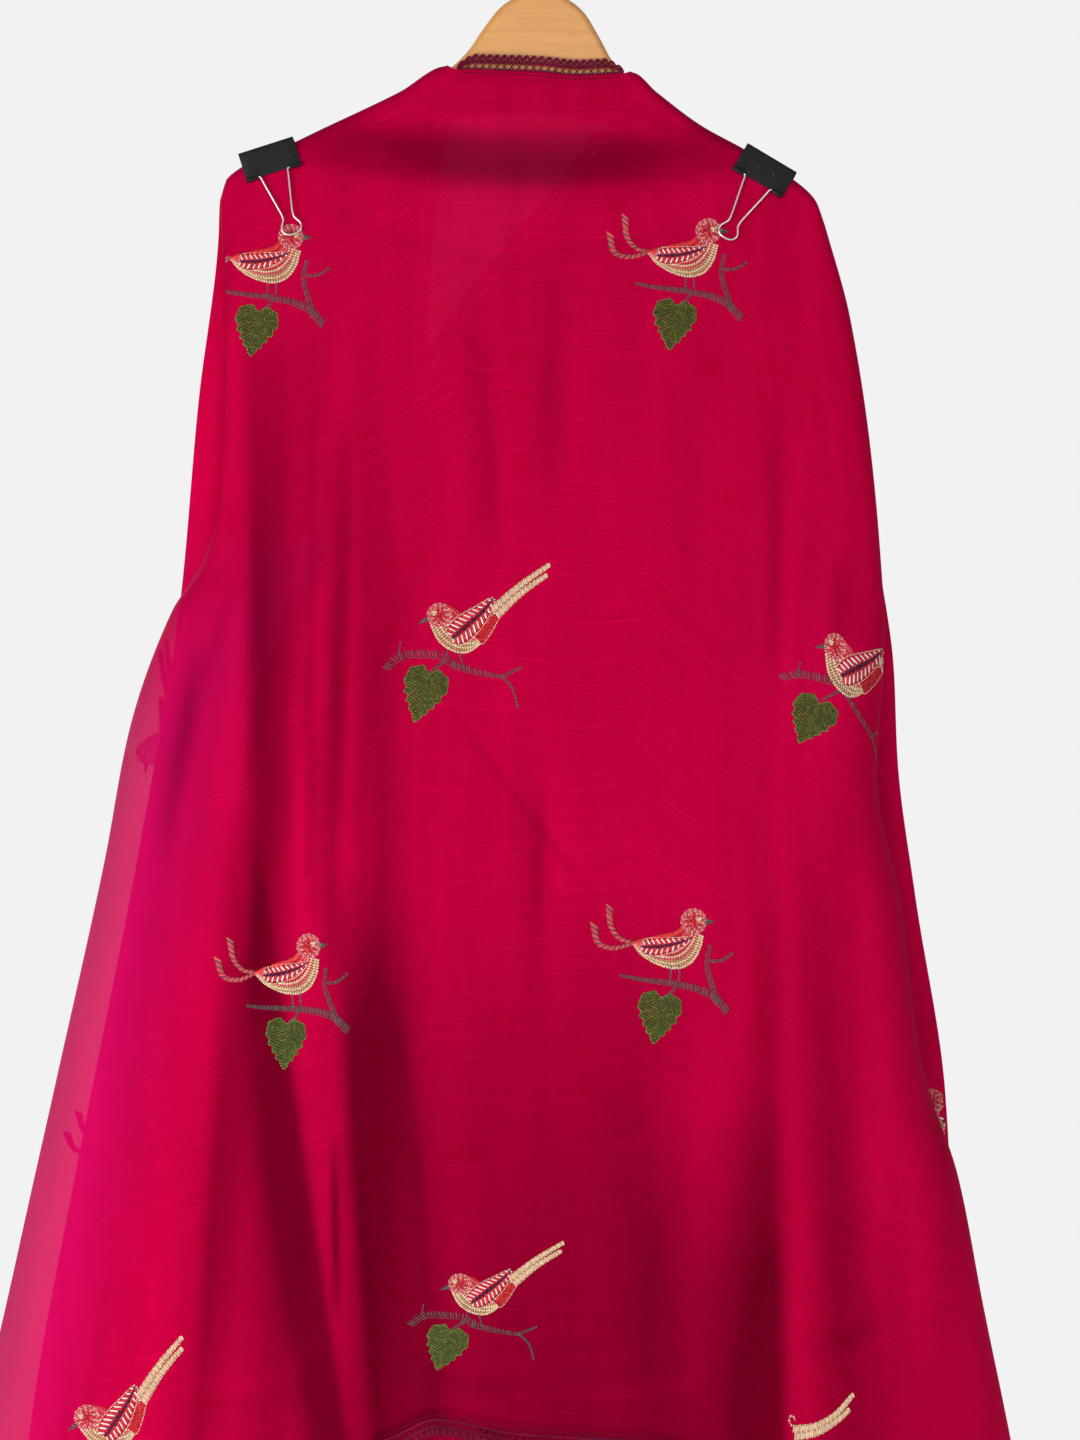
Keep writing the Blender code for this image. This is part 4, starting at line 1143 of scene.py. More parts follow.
class Needle:
    """Lays the stitches of one motif in its own millimetres, x to the right and z up."""

    def __init__(self, seed: int) -> None:
        """An empty motif with its own small irregularities."""
        self.random = np.random.default_rng(seed)
        self.ends: list[Array] = []
        self.widths: list[float] = []
        self.tints: list[Tint] = []

    def stitch(self, start: Array, stop: Array, width: float, tint: Tint) -> None:
        """One stitch."""
        self.ends.append(np.array([start, stop], float) + self.random.normal(0, STRAY, (2, 2)))
        self.widths.append(width * float(self.random.uniform(*SPUN)))
        self.tints.append(tint)

    def course(self, starts: Array, stops: Array, width: float, tints: Sequence[Tint]) -> None:
        """Stitches from start to stop, their colours in turn."""
        for k, (start, stop) in enumerate(zip(starts, stops)):
            self.stitch(start, stop, width, tints[k % len(tints)])

    def clear(self, outline: Array) -> None:
        """Take out the stitches so far that cross a closed outline's inside, to make room."""
        middles = np.array(self.ends).mean(axis=1)
        inside = np.zeros(len(middles), bool)
        for (x, z), (other_x, other_z) in zip(outline, np.roll(outline, -1, axis=0)):
            spans = (z > middles[:, 1]) != (other_z > middles[:, 1])
            rise = other_z - z if other_z != z else 1.0
            inside ^= spans & (middles[:, 0] < x + (other_x - x) * (middles[:, 1] - z) / rise)
        for k in np.flatnonzero(inside)[::-1]:
            del self.ends[k], self.widths[k], self.tints[k]

    def run(self, points: Path, length: float, width: float, *tints: Tint) -> None:
        """Running stitches along a path."""
        path = smooth_path(points, length)
        gap = np.diff(path, axis=0) * GAP
        self.course(path[:-1] + gap, path[1:] - gap, width, tints)

    def chain(self, points: Path, length: float, width: float, *tints: Tint) -> None:
        """Chain stitches along a path: each link is two legs that close on the next."""
        path = smooth_path(points, length)
        for k, (start, stop) in enumerate(zip(path, path[1:])):
            aside = unit(quarter_turned(stop - start)) * width * 0.55
            for side in (-1, 1):
                self.stitch(start + side * aside, stop + side * aside * 0.35, width, tints[k % len(tints)])

    def slanted(
        self, points: Path, half: Point, step: float, lean: float, width: float, *tints: Tint
    ) -> None:
        """Short stitches across a path, leaning along it.

        Args:
            points: the path.
            half: half its width at the start and at the end.
            step: distance between stitches.
            lean: how far a stitch leans along the path, as a share of its height.
            width: of a thread.
            tints: colours in turn.
        """
        path, ahead, aside = framed(points, step)
        across = (aside + ahead * lean) * np.linspace(*half, len(path))[:, None]
        self.course(path - across, path + across, width, tints)

    def branch(self, *twigs: tuple[Sequence[Point], Point, float]) -> None:
        """Twigs of bars that stand on a line and lean along it.

        Args:
            twigs: for each one its line, the bars' heights at its start and end, and their distance.
        """
        for points, rise, step in twigs:
            path, ahead, aside = framed(points, step)
            bars = (aside - 0.35 * ahead) * np.linspace(*rise, len(path))[:, None]
            self.course(path, path + bars, 0.85, BRANCH_TINTS)
            self.run(points, 2.0, 0.8, Tint.BARK, Tint.SLATE)

    def fill(
        self, outline: Path, angle: float, step: float, length: float, width: float, *tints: Tint
    ) -> None:
        """Rows of satin stitches inside a closed outline.

        Args:
            outline: its corners.
            angle: direction of the stitches, in degrees.
            step: distance between rows.
            length: longest stitch.
            width: of a thread.
            tints: colours, chosen at random.
        """
        turn = math.radians(angle)
        along_row = np.array([math.cos(turn), math.sin(turn)])
        up = quarter_turned(along_row)
        corners = np.array(outline, float)
        a, b = corners @ along_row, corners @ up
        run, rise = np.roll(a, -1) - a, np.roll(b, -1) - b
        for k, height in enumerate(np.arange(b.min() + step / 2, b.max(), step)):
            cut = (b > height) != (np.roll(b, -1) > height)
            crossings = np.sort(a[cut] + run[cut] * (height - b[cut]) / rise[cut])
            for low, high in zip(crossings[::2], crossings[1::2]):
                cuts = np.arange(low - length * (0.37 * k % 1.0), high, length)
                marks = [low, *[cut for cut in cuts if low + 0.5 < cut < high - 0.5], high]
                for left, right in zip(marks, marks[1:]):
                    if right - left > 0.35:
                        tint = tints[int(self.random.integers(len(tints)))]
                        start, stop = along_row * left + up * height, along_row * right + up * height
                        self.stitch(start, stop, width, tint)

    def coat(self, belly: Path, back: Path, cover: float, tints: Sequence[Tint]) -> None:
        """A body: chain rows that go over from the belly's line towards the back's.

        Args:
            belly: the lower line.
            back: the upper line.
            cover: share of the way to it that the last row reaches.
            tints: of the rows.
        """
        at = np.linspace(0, 1, 24)
        lower, upper = (
            np.stack([np.interp(at, np.linspace(0, 1, len(line)), line[:, k]) for k in range(2)], axis=1)
            for line in (smooth_path(belly, 1.0), smooth_path(back, 1.0))
        )
        for share, tint in zip(np.linspace(0.0, cover, len(tints)), tints):
            self.chain(lower * (1 - share) + upper * share, 1.9, 0.95, tint)

    def wing(self, spine: Path, half: float, lean: float) -> None:
        """A wing: red satin and pale barbs on both sides of a dark spine, inside an outline."""
        path, ahead, aside = framed(spine, 0.92)
        reach = half * np.sin(math.pi * np.linspace(0, 1, len(path)) ** 0.66) ** 0.66
        edges = {
            side: path + (aside * side - ahead * lean) * reach[:, None] + aside * side * 0.6
            for side in (-1, 1)
        }
        self.clear(np.concatenate([edges[-1], edges[1][::-1]]))
        for side, edge in edges.items():
            for k in range(1, len(path) - 1):
                tip = path[k] + aside[k] * side * reach[k] - ahead[k] * reach[k] * lean
                tint = BARB_TINTS[(k + side) % len(BARB_TINTS)]
                root = path[k] * 0.8 + tip * 0.2 if tint is Tint.WHITE else path[k]
                self.stitch(root, tip, 1.6 if tint is Tint.WHITE else 1.1, tint)
            self.run(edge, 1.8, 1.0, Tint.CREAM, Tint.BLUSH)
        self.run(spine, 2.0, 1.9, Tint.NAVY)
        for k in range(3, len(path) - 4, 5):
            for side in (-1, 1):
                tip = path[k] + (aside[k] * side - ahead[k] * lean) * reach[k] * 0.5
                self.stitch(path[k], tip, 0.9, Tint.NAVY)

    def rings(self, centre: Point, radius: float, step: float, *tints: Tint) -> None:
        """Chain rings round a centre, from the rim in."""
        turns = np.linspace(0, 2 * math.pi, 25)
        self.clear(np.array(centre) + np.stack([np.cos(turns), np.sin(turns)], axis=1) * (radius + 0.4))
        for k, size in enumerate(np.arange(radius, step * 0.4, -step)):
            turns = np.linspace(0, 2 * math.pi, 17) + k
            ring = np.array(centre) + np.stack([np.cos(turns), np.sin(turns)], axis=1) * size
            self.chain(ring, 1.9, 0.8, *tints[min(k, len(tints) - 2) :][:2])

    def head(self, centre: Point, radius: float, eye: Point, bill: Sequence[Point], bearing: float) -> None:
        """A round head with its eye, and its bill along a bearing."""
        self.rings(centre, radius, 1.45, *HEAD_TINTS)
        self.rings(eye, 1.7, 0.8, Tint.CREAM, Tint.GOLD)
        self.fill(bill, bearing, 0.6, 6.0, 1.05, Tint.BEAK, Tint.SLATE)

    def feet(self, *legs: Sequence[Point]) -> None:
        """Thin legs down to the branch."""
        for leg in legs:
            self.chain(leg, 2.2, 0.8, Tint.SLATE, Tint.BARK)

    def tail(self, *feathers: Sequence[Point]) -> None:
        """Long pale tail feathers, side by side."""
        for feather in feathers:
            self.slanted(feather, (2.7, 1.6), 0.85, 0.3, 0.95, Tint.CREAM, Tint.GOLD, Tint.CREAM, Tint.BLUSH)
            path = smooth_path(feather, 2.0)
            aside = quarter_turned(np.gradient(path, axis=0)) / 2.0
            for side in (-1, 1):
                edge = path + side * aside * np.linspace(2.5, 1.4, len(path))[:, None]
                self.run(edge, 2.0, 0.9, Tint.CREAM, Tint.GOLD)

    def leaf(self, stem: Point, tip: Point, spread: float) -> None:
        """A toothed heart-shaped leaf, its veins slanting from the midrib."""
        axis = np.array(tip, float) - stem
        ahead = unit(axis)
        aside = quarter_turned(ahead)
        bearing = math.degrees(math.atan2(ahead[1], ahead[0]))
        for side in (-1, 1):
            half = [stem + axis * down + aside * side * spread * out for down, out in LEAF_TEETH]
            self.fill(half, bearing + side * 52, 0.66, 2.6, 1.05, *LEAF_TINTS)
            for start, stop in zip(half, half[1:]):
                self.run([start, stop], 2.1, 1.0, Tint.LEAF_EDGE)
        self.run([stem + ahead * 1.5, tip], 2.6, 0.7, Tint.OLIVE)


def rightward(needle: Needle) -> None:
    """A bird that faces right on its branch, with two curved tail feathers."""
    needle.branch(
        ([(-35, 4), (-22, 1.0), (-8, -1.2), (1.5, -2.6)], (2.2, 4.4), 1.4),
        ([(1.5, -2.6), (17, -6.4), (29, -12), (38.5, -23)], (4.4, 6.4), 1.4),
        ([(34.6, -13), (29.6, 2), (27, 13.3), (29, 25.8)], (4.4, 2.6), 1.4),
        ([(29, 14), (36.7, 14.8), (44.5, 20)], (2.4, 1.6), 1.3),
        ([(4, -2), (0, -7), (-5.5, -10.6)], (2.0, 1.6), 1.2),
    )
    needle.leaf((-6.0, -9.5), (-12, -43.5), 15.5)
    needle.feet([(0.8, 12), (0.2, 5), (0, 0)], [(6, 12), (6.4, 6), (6, 1)])
    upper, lower = [(-27, 28), (-36, 31), (-42, 40), (-43, 53)], [(-27, 27), (-40, 24), (-51, 28), (-54, 41)]
    for feather in (upper, lower):
        needle.slanted(feather, (1.4, 2.8), 1.3, 0.9, 1.3, Tint.CORAL, Tint.SLATE, Tint.ROSE)
    belly = [(-26, 27), (-20, 19.5), (-8, 12.4), (5, 10), (14.5, 14), (20.5, 23), (23, 33)]
    back = [(-26, 27.5), (-16, 30.6), (-4, 32.6), (4, 34.6), (9, 38)]
    needle.coat(belly, back, 0.82, BELLY_TINTS * 2 + COAT_TINTS)
    needle.slanted(back, (1.5, 2.3), 0.75, 1.0, 1.1, Tint.CORAL, Tint.RED)
    needle.wing([(-20, 25.0), (-8, 25.2), (4, 27.2), (15, 31)], 5.8, 0.55)
    needle.head((16.6, 42.8), 8.6, (20.3, 44.0), [(24.4, 45), (31.8, 42.4), (24.4, 39.8)], 0)


def leftward(needle: Needle) -> None:
    """A bird that faces left on its branch, with one long straight tail."""
    needle.branch(
        ([(-53, -3.4), (-44, 4.4), (-30, 5.4), (-17, 4.2), (-7.4, -2.4)], (5.6, 6.6), 2.0),
        ([(-7.4, -2.4), (8, -6.3), (22, -8.6), (28, -9)], (5.8, 3.0), 2.0),
        ([(-44, 4), (-45.6, 10), (-44.8, 16.5)], (1.2, 0.8), 1.3),
        ([(27, -9), (33, -6), (41, -2)], (2.0, 1.6), 1.3),
        ([(27, -9), (33, -15), (36, -22), (38, -30.6)], (1.8, 1.4), 1.3),
        ([(-15, 3), (-20, -1), (-25, -5)], (2.4, 1.8), 1.3),
    )
    needle.leaf((-24, -4.5), (-35, -40.5), 16.0)
    needle.feet([(-11.5, 11), (-13, 5), (-16, 1.6)], [(-3, 10), (-1.5, 2), (0.4, -4)])
    perched(needle)


def perched(needle: Needle) -> None:
    """The bird that faces left, without its branch."""
    needle.tail([(20, 32), (40.2, 51), (58.9, 64.2)], [(16, 35.6), (38.4, 55.6), (60.8, 71.6)])
    belly = [(13, 17), (6, 11), (-1, 9), (-10, 11.5), (-18, 18), (-22, 26), (-24, 31)]
    back = [(18, 27), (8, 33), (0, 37), (-6, 41), (-12, 43)]
    needle.coat(belly, back, 0.94, BELLY_TINTS * 3 + COAT_TINTS)
    rump = [(8, 19.7), (12.8, 15), (19.5, 23), (26, 35.5), (17, 35)]
    needle.clear(np.array(rump, float))
    needle.fill(rump, 35, 1.0, 3.2, 0.95, Tint.RED, Tint.CORAL)
    needle.fill(rump, 125, 1.7, 3.0, 0.85, Tint.CORAL, Tint.RED)
    needle.run(rump[:4], 1.8, 0.9, Tint.CREAM, Tint.BLUSH)
    needle.wing([(-8.6, 19), (2, 28), (13, 38), (21.5, 48)], 8.6, 0.5)
    needle.head((-17.5, 35.5), 8.3, (-21.3, 37.2), [(-25.3, 34.8), (-33, 29.4), (-25.8, 31)], 36)


def cut_tail(needle: Needle) -> None:
    """A tail that comes out of a fold, from where it starts."""
    needle.tail([(1, -3), (19, 1), (34, 9.4), (42, 16.4)], [(0, 2), (18, 5.6), (33, 14), (45, 27)])
    needle.chain([(-1, 4), (-3.5, 8), (-1, 12), (1.5, 8)], 1.8, 0.8, Tint.CREAM, Tint.ROSE)


def bent_branch(needle: Needle) -> None:
    """The leftward bird's branch where the cloth bends it down on the right."""
    needle.branch(
        ([(-41, 3), (-30, 5), (-14, 2), (-1, -2)], (5.4, 6.2), 1.9),
        ([(-1, -2), (6, -14), (14, -26), (22.7, -38)], (4.2, 2.8), 1.8),
        ([(-29.5, 5), (-29.6, 11), (-28.6, 16)], (1.2, 0.8), 1.3),
        ([(22.7, -38), (28, -34.5), (37, -38)], (2.0, 1.6), 1.3),
        ([(22.7, -38), (25.6, -50), (28.2, -63)], (1.6, 1.2), 1.3),
        ([(-2, -4), (-8, -7), (-14.5, -11)], (2.4, 1.8), 1.3),
    )
    needle.leaf((-15, -12), (-30.2, -41.5), 16.5)


class Placement(NamedTuple):
    """A bird by its stitcher: where its feet cross the branch, its turn in degrees, scales and lean."""

    stitch: Callable[[Needle], None]
    x: float
    level: float
    turn: float = 0.0
    wide: float = 1.0
    tall: float = 1.0
    lean: float = 0.0


NEAR_BIRDS = rows_of(
    Placement,
    (rightward, 0.0983, -0.2814),
    (rightward, -0.2009, -0.2857),
    (leftward, -0.0598, -0.5503),
    (bent_branch, 0.2079, -0.564),
    (perched, 0.21, -0.5814, -24.8, 0.928, 1.05, -0.216),
    (rightward, -0.1799, -0.7922, 6.0, 0.92, 0.98),
    (rightward, 0.0862, -0.7742),
    (leftward, -0.0458, -1.0137, 0.0, 0.93, 0.8),
    (leftward, -0.2974, -1.1077, 15.0),
    (cut_tail, 0.1724, -1.0895, 0.0, 0.93),
)
LEFT_END_BIRDS = rows_of(
    Placement,
    (leftward, -0.16, -0.4, 14.0),
    (rightward, -0.25, -0.71, 8.0),
    (leftward, -0.09, -0.92, 4.0),
    (rightward, -0.29, -1.08, 10.0),
)
RIGHT_END_BIRDS = rows_of(
    Placement,
    (rightward, 0.09, -0.41, -12.0),
    (leftward, 0.18, -0.66, -6.0),
    (rightward, 0.035, -0.87, -4.0),
    (leftward, 0.215, -1.05, -8.0),
)
LEFT_LAYER_BIRDS = rows_of(Placement, (leftward, -0.248, -0.615, 60.0), (rightward, -0.285, -0.915, 12.0))
RIGHT_LAYER_BIRDS = rows_of(Placement, (rightward, 0.23, -0.82, -10.0), (leftward, 0.27, -1.05, -6.0))
RIGHT_FOLD_BIRDS = rows_of(Placement, (leftward, 0.298, -0.9035))


@dataclass(frozen=True)
class Face:
    """A face of the cloth that stitches lie on: its y, and where it is cloth at all."""

    y: Callable[[Array, Array], Array]
    inside: Callable[[Array, Array], Array]
    outward: int  # -1 where it faces the near side, +1 the far side

    def lift(self, x: Array, level: Array) -> tuple[Array, Array]:
        """Points on the face and its outward normals there."""
        step = 0.0015
        y = self.y(x, level)
        by_x = (self.y(x + step, level) - self.y(x - step, level)) / (2 * step)
        by_level = (self.y(x, level + step) - self.y(x, level - step)) / (2 * step)
        normal = unit(np.stack([-by_x, np.ones_like(y), -by_level], axis=-1)) * self.outward
        return np.stack([x, y, level], axis=-1), normal


@dataclass
class Embroidery:
    """Birds in raised thread on one face of the cloth, as one mesh."""

    face: Face
    height: float = 0.00042
    clear: float = 0.0001
    shoulders: Point = (0.2, 0.8)  # shares of a stitch between which it is full
    shade: float = 0.1  # how unevenly the threads are dyed

    def build(self, name: str, birds: Sequence[Placement], material: Material, seed: int) -> Object:
        """The birds at their places; the seed starts their small irregularities."""
        ends, widths, tints = [], [], []
        for number, bird in enumerate(birds):
            needle = Needle(seed + number)
            bird.stitch(needle)
            local = np.array(needle.ends) * (bird.wide, bird.tall) * MM
            local[..., 0] += bird.lean * local[..., 1]
            turn = math.radians(bird.turn)
            spin = np.array([[math.cos(turn), math.sin(turn)], [-math.sin(turn), math.cos(turn)]])
            ends.append(local @ spin + (bird.x, bird.level))
            widths.append(np.array(needle.widths) * MM)
            tints.append(np.array([tint.value for tint in needle.tints]))
        flat, width, tint = np.concatenate(ends), np.concatenate(widths), np.concatenate(tints)
        kept = self.face.inside(flat[:, 0, 0], flat[:, 0, 1]) & self.face.inside(flat[:, 1, 0], flat[:, 1, 1])
        return self.mesh(name, flat[kept], width[kept], tint[kept], material, seed)

    def mesh(
        self, name: str, flat: Array, width: Array, tint: Array, material: Material, seed: int
    ) -> Object:
        """One closed low bar of thread, round on top and drawn in at its ends, for each stitch."""
        ends, normal = self.face.lift(flat[..., 0], flat[..., 1])
        up = unit(normal.sum(axis=1))
        ends = ends + normal * self.clear
        ahead = ends[:, 1] - ends[:, 0]
        aside = unit(np.cross(unit(ahead), up)) * width[:, None] / 2
        top = up * self.height * (width / width.mean())[:, None] ** 0.5
        rings = []
        for share in self.shoulders:
            middle = ends[:, 0] + ahead * share
            rings += [middle - aside, middle + top, middle + aside]
        points = np.stack([ends[:, 0], *rings, ends[:, 1]], axis=1)
        pattern = [(0, 2, 1), (0, 3, 2), (0, 1, 3), (7, 4, 5), (7, 5, 6), (7, 6, 4)]
        pattern += [(1, 2, 5, 4), (2, 3, 6, 5), (3, 1, 4, 6)]
        first = np.arange(len(points))[:, None] * 8
        faces: list[list[int]] = []
        for shape in pattern:
            faces += (first + np.array(shape)).tolist()
        thing = new_mesh(name, points.reshape(-1, 3), faces)
        random = np.random.default_rng(seed + 500)
        shade = np.clip(tint * random.normal(1.0, self.shade, (len(tint), 1)), 0, 1)
        colours = np.ones((len(points), 8, 4))
        colours[..., :3] = shade[:, None]
        layer = thing.data.color_attributes.new("Thread", "FLOAT_COLOR", "POINT")
        layer.data.foreach_set("color", colours.astype(np.float32).ravel())
        return dress(thing, material)


# ---- cloth and lace
BODY = "stole"


def settle(thing: Object, nodes: Sequence[str], body: str = BODY) -> Object:
    """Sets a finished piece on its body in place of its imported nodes, and reports it."""
    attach(thing, body)
    if nodes:
        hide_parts(*nodes)
    log.info("%s: %d faces, on %s", thing.name, len(thing.data.polygons), body)
    return thing


@dataclass
class Cloth:
    """The dupatta's silk: the near stretch, and on each side two inner layers and an end."""

    drape: Drape
    silk: Material
    taut_reach: Point = (0.02, 0.11)  # from an outer crease, where it covers least and most
    taut_level: Point = (-0.44, -0.6)  # where it starts to be taut and fully is
    right_cover: float = 0.93  # least cover on the right
    end_cover: float = 0.95
    turned_hem: float = 0.0085
    hem_shade: float = 0.14
    full_turn: float = 0.99  # share of the neck's turn from which an edge counts as the neck

    def __post_init__(self) -> None:
        """Works out the grids of points, each starting on its neighbour's edge."""
        near = self.drape.near_grid()
        self.grids: dict[str, Array] = {"front_fall": near}
        top = near[0]
        for side, column, on_arm in (
            (LEFT, 0, top[:, 0] <= LEFT.lace[0].value),
            (RIGHT, -1, top[:, 0] >= RIGHT.lace[0].value),
        ):
            layers = self.drape.layer_grid(side, near[:, column, 2])
            layers[:, 0] = near[:, column]
            ridge = top[on_arm][:: -side.inward]
            outline = np.concatenate([ridge, layers[1:, -1]])
            self.grids[f"{side.name}_folds"] = layers
            self.grids[f"{side.name}_end"] = self.drape.end_grid(side, outline)

    def build(self) -> None:
        """The five pieces of silk, dressed and set on the stole."""
        pieces = Weld(*[(name, grid, name.startswith("left")) for name, grid in self.grids.items()]).pieces()
        for name, thing in pieces.items():
            thing.name = f"{name}_silk"
            self.set_cover(thing.data, name)
            settle(dress(thing, self.silk), [name])

    def set_cover(self, mesh: Mesh, name: str) -> None:
        """Writes how much each point covers, least where the cloth is taut, and its painted shade: dark in
        troughs, a painted highlight on crests, and darker along the doubled turned hem.
        """
        points = np.empty(len(mesh.vertices) * 3, dtype=np.float32)
        mesh.vertices.foreach_get("co", points)
        x, _, level = points.reshape(-1, 3).T.astype(float)
        side = LEFT if name.startswith("left") else RIGHT
        inside = side.inward * (x - along(side.crease_0, level))
        if name == "front_fall":
            left, right = outer_creases(level)
            inside = np.minimum(x - left, right - x)
        cover = np.clip((inside - self.taut_reach[0]) / (self.taut_reach[1] - self.taut_reach[0]), 0, 1)
        above, below = self.taut_level
        cover = np.maximum(cover * cover * (3 - 2 * cover), np.clip((level - below) / (above - below), 0, 1))
        cover = np.where(x > 0, np.maximum(cover, self.right_cover), cover)
        hollow = np.zeros(len(x))
        if name == "front_fall":
            at_neck = np.where(along(NECK_TURN, x) > self.full_turn, along(NEAR_TOP, x) - level, 1.0)
            turned = np.minimum(level - along(NEAR_HEM, x), at_neck) < self.turned_hem
            cover = np.where(turned, 1.0, cover)
            # painted shade of the folds, plus the darker tone of the doubled turned hem
            hollow = self.drape.hollow(x, level) + self.hem_shade * turned
        elif name.endswith("_end"):
            cover = np.full(len(x), self.end_cover)
            # painted shade of the ends, from their folds
            hollow = self.drape.far_hollow(x, level)
        for title, values in (("Cover", cover), ("Hollow", hollow)):
            layer = mesh.attributes.new(title, "FLOAT", "POINT")
            layer.data.foreach_set("value", values.astype(np.float32))

    def bands(self) -> dict[str, Band]:
        """The laced edges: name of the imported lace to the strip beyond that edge."""
        near = self.grids["front_fall"]
        neck = along(NECK_TURN, near[0, :, 0]) > self.full_turn
        found = {
            "neck_lace": Band.beside(near[0, neck], near[2, neck]),
            "front_hem_lace": Band.beside(near[-1], near[-3]),
        }
        for side in (LEFT, RIGHT):
            layers = self.grids[f"{side.name}_folds"]
            end = self.grids[f"{side.name}_end"]
            corner = int(layers.shape[1] * side.fold_hem[2].at / 2)
            found[f"{side.name}_folds_lace"] = Band.beside(layers[-1, 3:corner], layers[-3, 3:corner])
            found[f"{side.name}_end_lace"] = Band.beside(end[4:, -1], end[4:, -3])
        return found


@dataclass(frozen=True)
class FacesOfCloth:
    """The faces that carry embroidery, read from the drape's surfaces."""

    drape: Drape
    margin: float = 0.0015
    hem_margin: float = 0.006

    def near(self) -> Face:
        """The near stretch."""

        def inside(x: Array, level: Array) -> Array:
            """Where the near stretch is."""
            left, right = outer_creases(level)
            above_hem = level - along(NEAR_HEM, x)
            return (np.minimum(x - left, right - x) > self.margin) & (above_hem > self.hem_margin)

        return Face(self.drape.near_y, inside, -1)

    def end(self, side: Side) -> Face:
        """One end, behind."""

        def inside(x: Array, level: Array) -> Array:
            """Where the end is."""
            from_crease = side.inward * (x - along(side.crease_2, level))
            from_lace = side.inward * (along(side.lace, level) - x)
            return (from_crease > self.margin) & (from_lace > self.hem_margin)

        return Face(lambda x, level: self.drape.end_y(side, x, level), inside, 1)

    def layer(self, side: Side, number: int) -> Face:
        """An inner layer; the first one's right side faces the far side, the second one's the near side."""
        outer = side.crease_0 if number == 1 else side.crease_2

        def y(x: Array, level: Array) -> Array:
            """y of the layer under a point."""
            share = self.drape.layer_share(side, number, x, level)
            return self.drape.layer_point(side, share + (number - 1), level)[..., 1]

        def inside(x: Array, level: Array) -> Array:
            """Where the layer is."""
            from_outer = side.inward * (x - along(outer, level))
            from_inner = side.inward * (along(side.crease_1, level) - x)
            return np.minimum(from_outer, from_inner) > self.margin

        return Face(y, inside, 1 if number == 1 else -1)


class Skein:
    """Threads laid along one band, as one mesh."""

    def __init__(self, band: Band) -> None:
        """No thread yet."""
        self.band = band
        self.points: list[Array] = []
        self.faces: list[list[int]] = []
        self.total = 0

    def lay(self, at: Array, off: Array, proud: Array, radius: float, sides: int) -> None:
        """Lays one thread through places along the band, out from its edge and proud of its face."""
        route = self.band.place(at, off, proud)
        across = self.band.place(at, off, proud + MM) - route
        ring, faces = tube(route, radius, sides, across, self.total)
        self.points.append(ring)
        self.faces.extend(faces)
        self.total += len(ring)

    def piece(self, name: str, material: Material) -> Object:
        """The threads' object."""
        return dress(new_mesh(name, np.concatenate(self.points), self.faces), material)


class Strand(NamedTuple):
    """A running thread of the lace; its two ways are given by the place in pitches."""

    out: Callable[[Array], Array]
    proud: Callable[[Array], Array]
    radius: float
    steps: int  # in a pitch
    sides: int


@dataclass(frozen=True)
class Lace:
    """Crochet edging: a cord, a crossed net, a twisted cord and a row of scallops; it tapers at its ends."""

    taper: float = 0.012
    least: float = 0.03  # share of the full width, before its root, that is left at the ends
    pitch: float = 0.0052
    cord_at: float = 0.0008
    cord_wave: float = 0.0001
    cord_radius: float = 0.0008
    net_middle: float = 0.0033
    net_reach: float = 0.0022
    net_rise: float = 0.0003
    net_radius: float = 0.00045
    twist_at: float = 0.0057
    twist_wave: float = 0.00036
    twist_rise: float = 0.0003
    twist_radius: float = 0.0006
    scallop_foot: float = 0.0063
    scallop_rise: float = 0.005
    scallop_round: float = 0.62  # power of the sine: below 1 is fuller than a wave
    scallop_wave: float = 0.00025
    scallop_radius: float = 0.00085
    spoke_angles: tuple[float, ...] = (0.62, math.pi / 2, math.pi - 0.62)
    spoke_length: float = 0.86  # share of the scallop's rise
    spoke_spread: float = 0.55
    spoke_radius: float = 0.00045

    def net(self, sign: int) -> Strand:
        """One thread of the crossed net."""
        return Strand(
            lambda s: self.net_middle + sign * self.net_reach * np.cos(math.pi * s),
            lambda s: -sign * self.net_rise * np.cos(math.pi * s / 2),
            self.net_radius,
            6,
            3,
        )

    def twist(self, sign: int) -> Strand:
        """One thread of the twisted cord."""
        return Strand(
            lambda s: self.twist_at + sign * self.twist_wave * np.sin(4 * math.pi * s),
            lambda s: sign * self.twist_rise * np.cos(4 * math.pi * s),
            self.twist_radius,
            8,
            4,
        )

    def strands(self) -> list[Strand]:
        """The running strands, from the cord on the cloth's edge out to the scallops."""
        cord = Strand(
            lambda s: self.cord_at + self.cord_wave * np.sin(4 * math.pi * s),
            np.zeros_like,
            self.cord_radius,
            4,
            5,
        )
        bow, foot, rise = self.scallop_round, self.scallop_foot, self.scallop_rise
        scallops = Strand(
            lambda s: foot + rise * np.abs(np.sin(math.pi * s)) ** bow,
            lambda s: self.scallop_wave * np.sin(2 * math.pi * s),
            self.scallop_radius,
            12,
            5,
        )
        return [cord, self.net(-1), self.net(1), self.twist(1), self.twist(-1), scallops]

    def build(self, name: str, band: Band, material: Material) -> Object:
        """The edging along one band, as one mesh of thread."""
        length = band.length()
        count = max(2, round(length / self.pitch))
        pitch = length / count
        skein = Skein(band)

        def narrowed(at: Array) -> Array:
            """Share of its full width that the edging has at a place."""
            return np.sqrt(np.clip(np.minimum(at, length - at) / self.taper, self.least, 1))

        for strand in self.strands():
            s = np.linspace(0, count, count * strand.steps + 1)
            off = strand.out(s) * narrowed(s * pitch)
            skein.lay(s * pitch, off, strand.proud(s), strand.radius, strand.sides)
        reach = np.array([0.0, self.spoke_length]) * self.scallop_rise
        for k in range(count):
            for angle in self.spoke_angles:
                at = (k + 0.5) * pitch + reach * math.cos(angle) * self.spoke_spread
                off = (self.scallop_foot + reach * math.sin(angle)) * narrowed(at)
                skein.lay(at, off, np.zeros(2), self.spoke_radius, 3)
        return skein.piece(name, material)


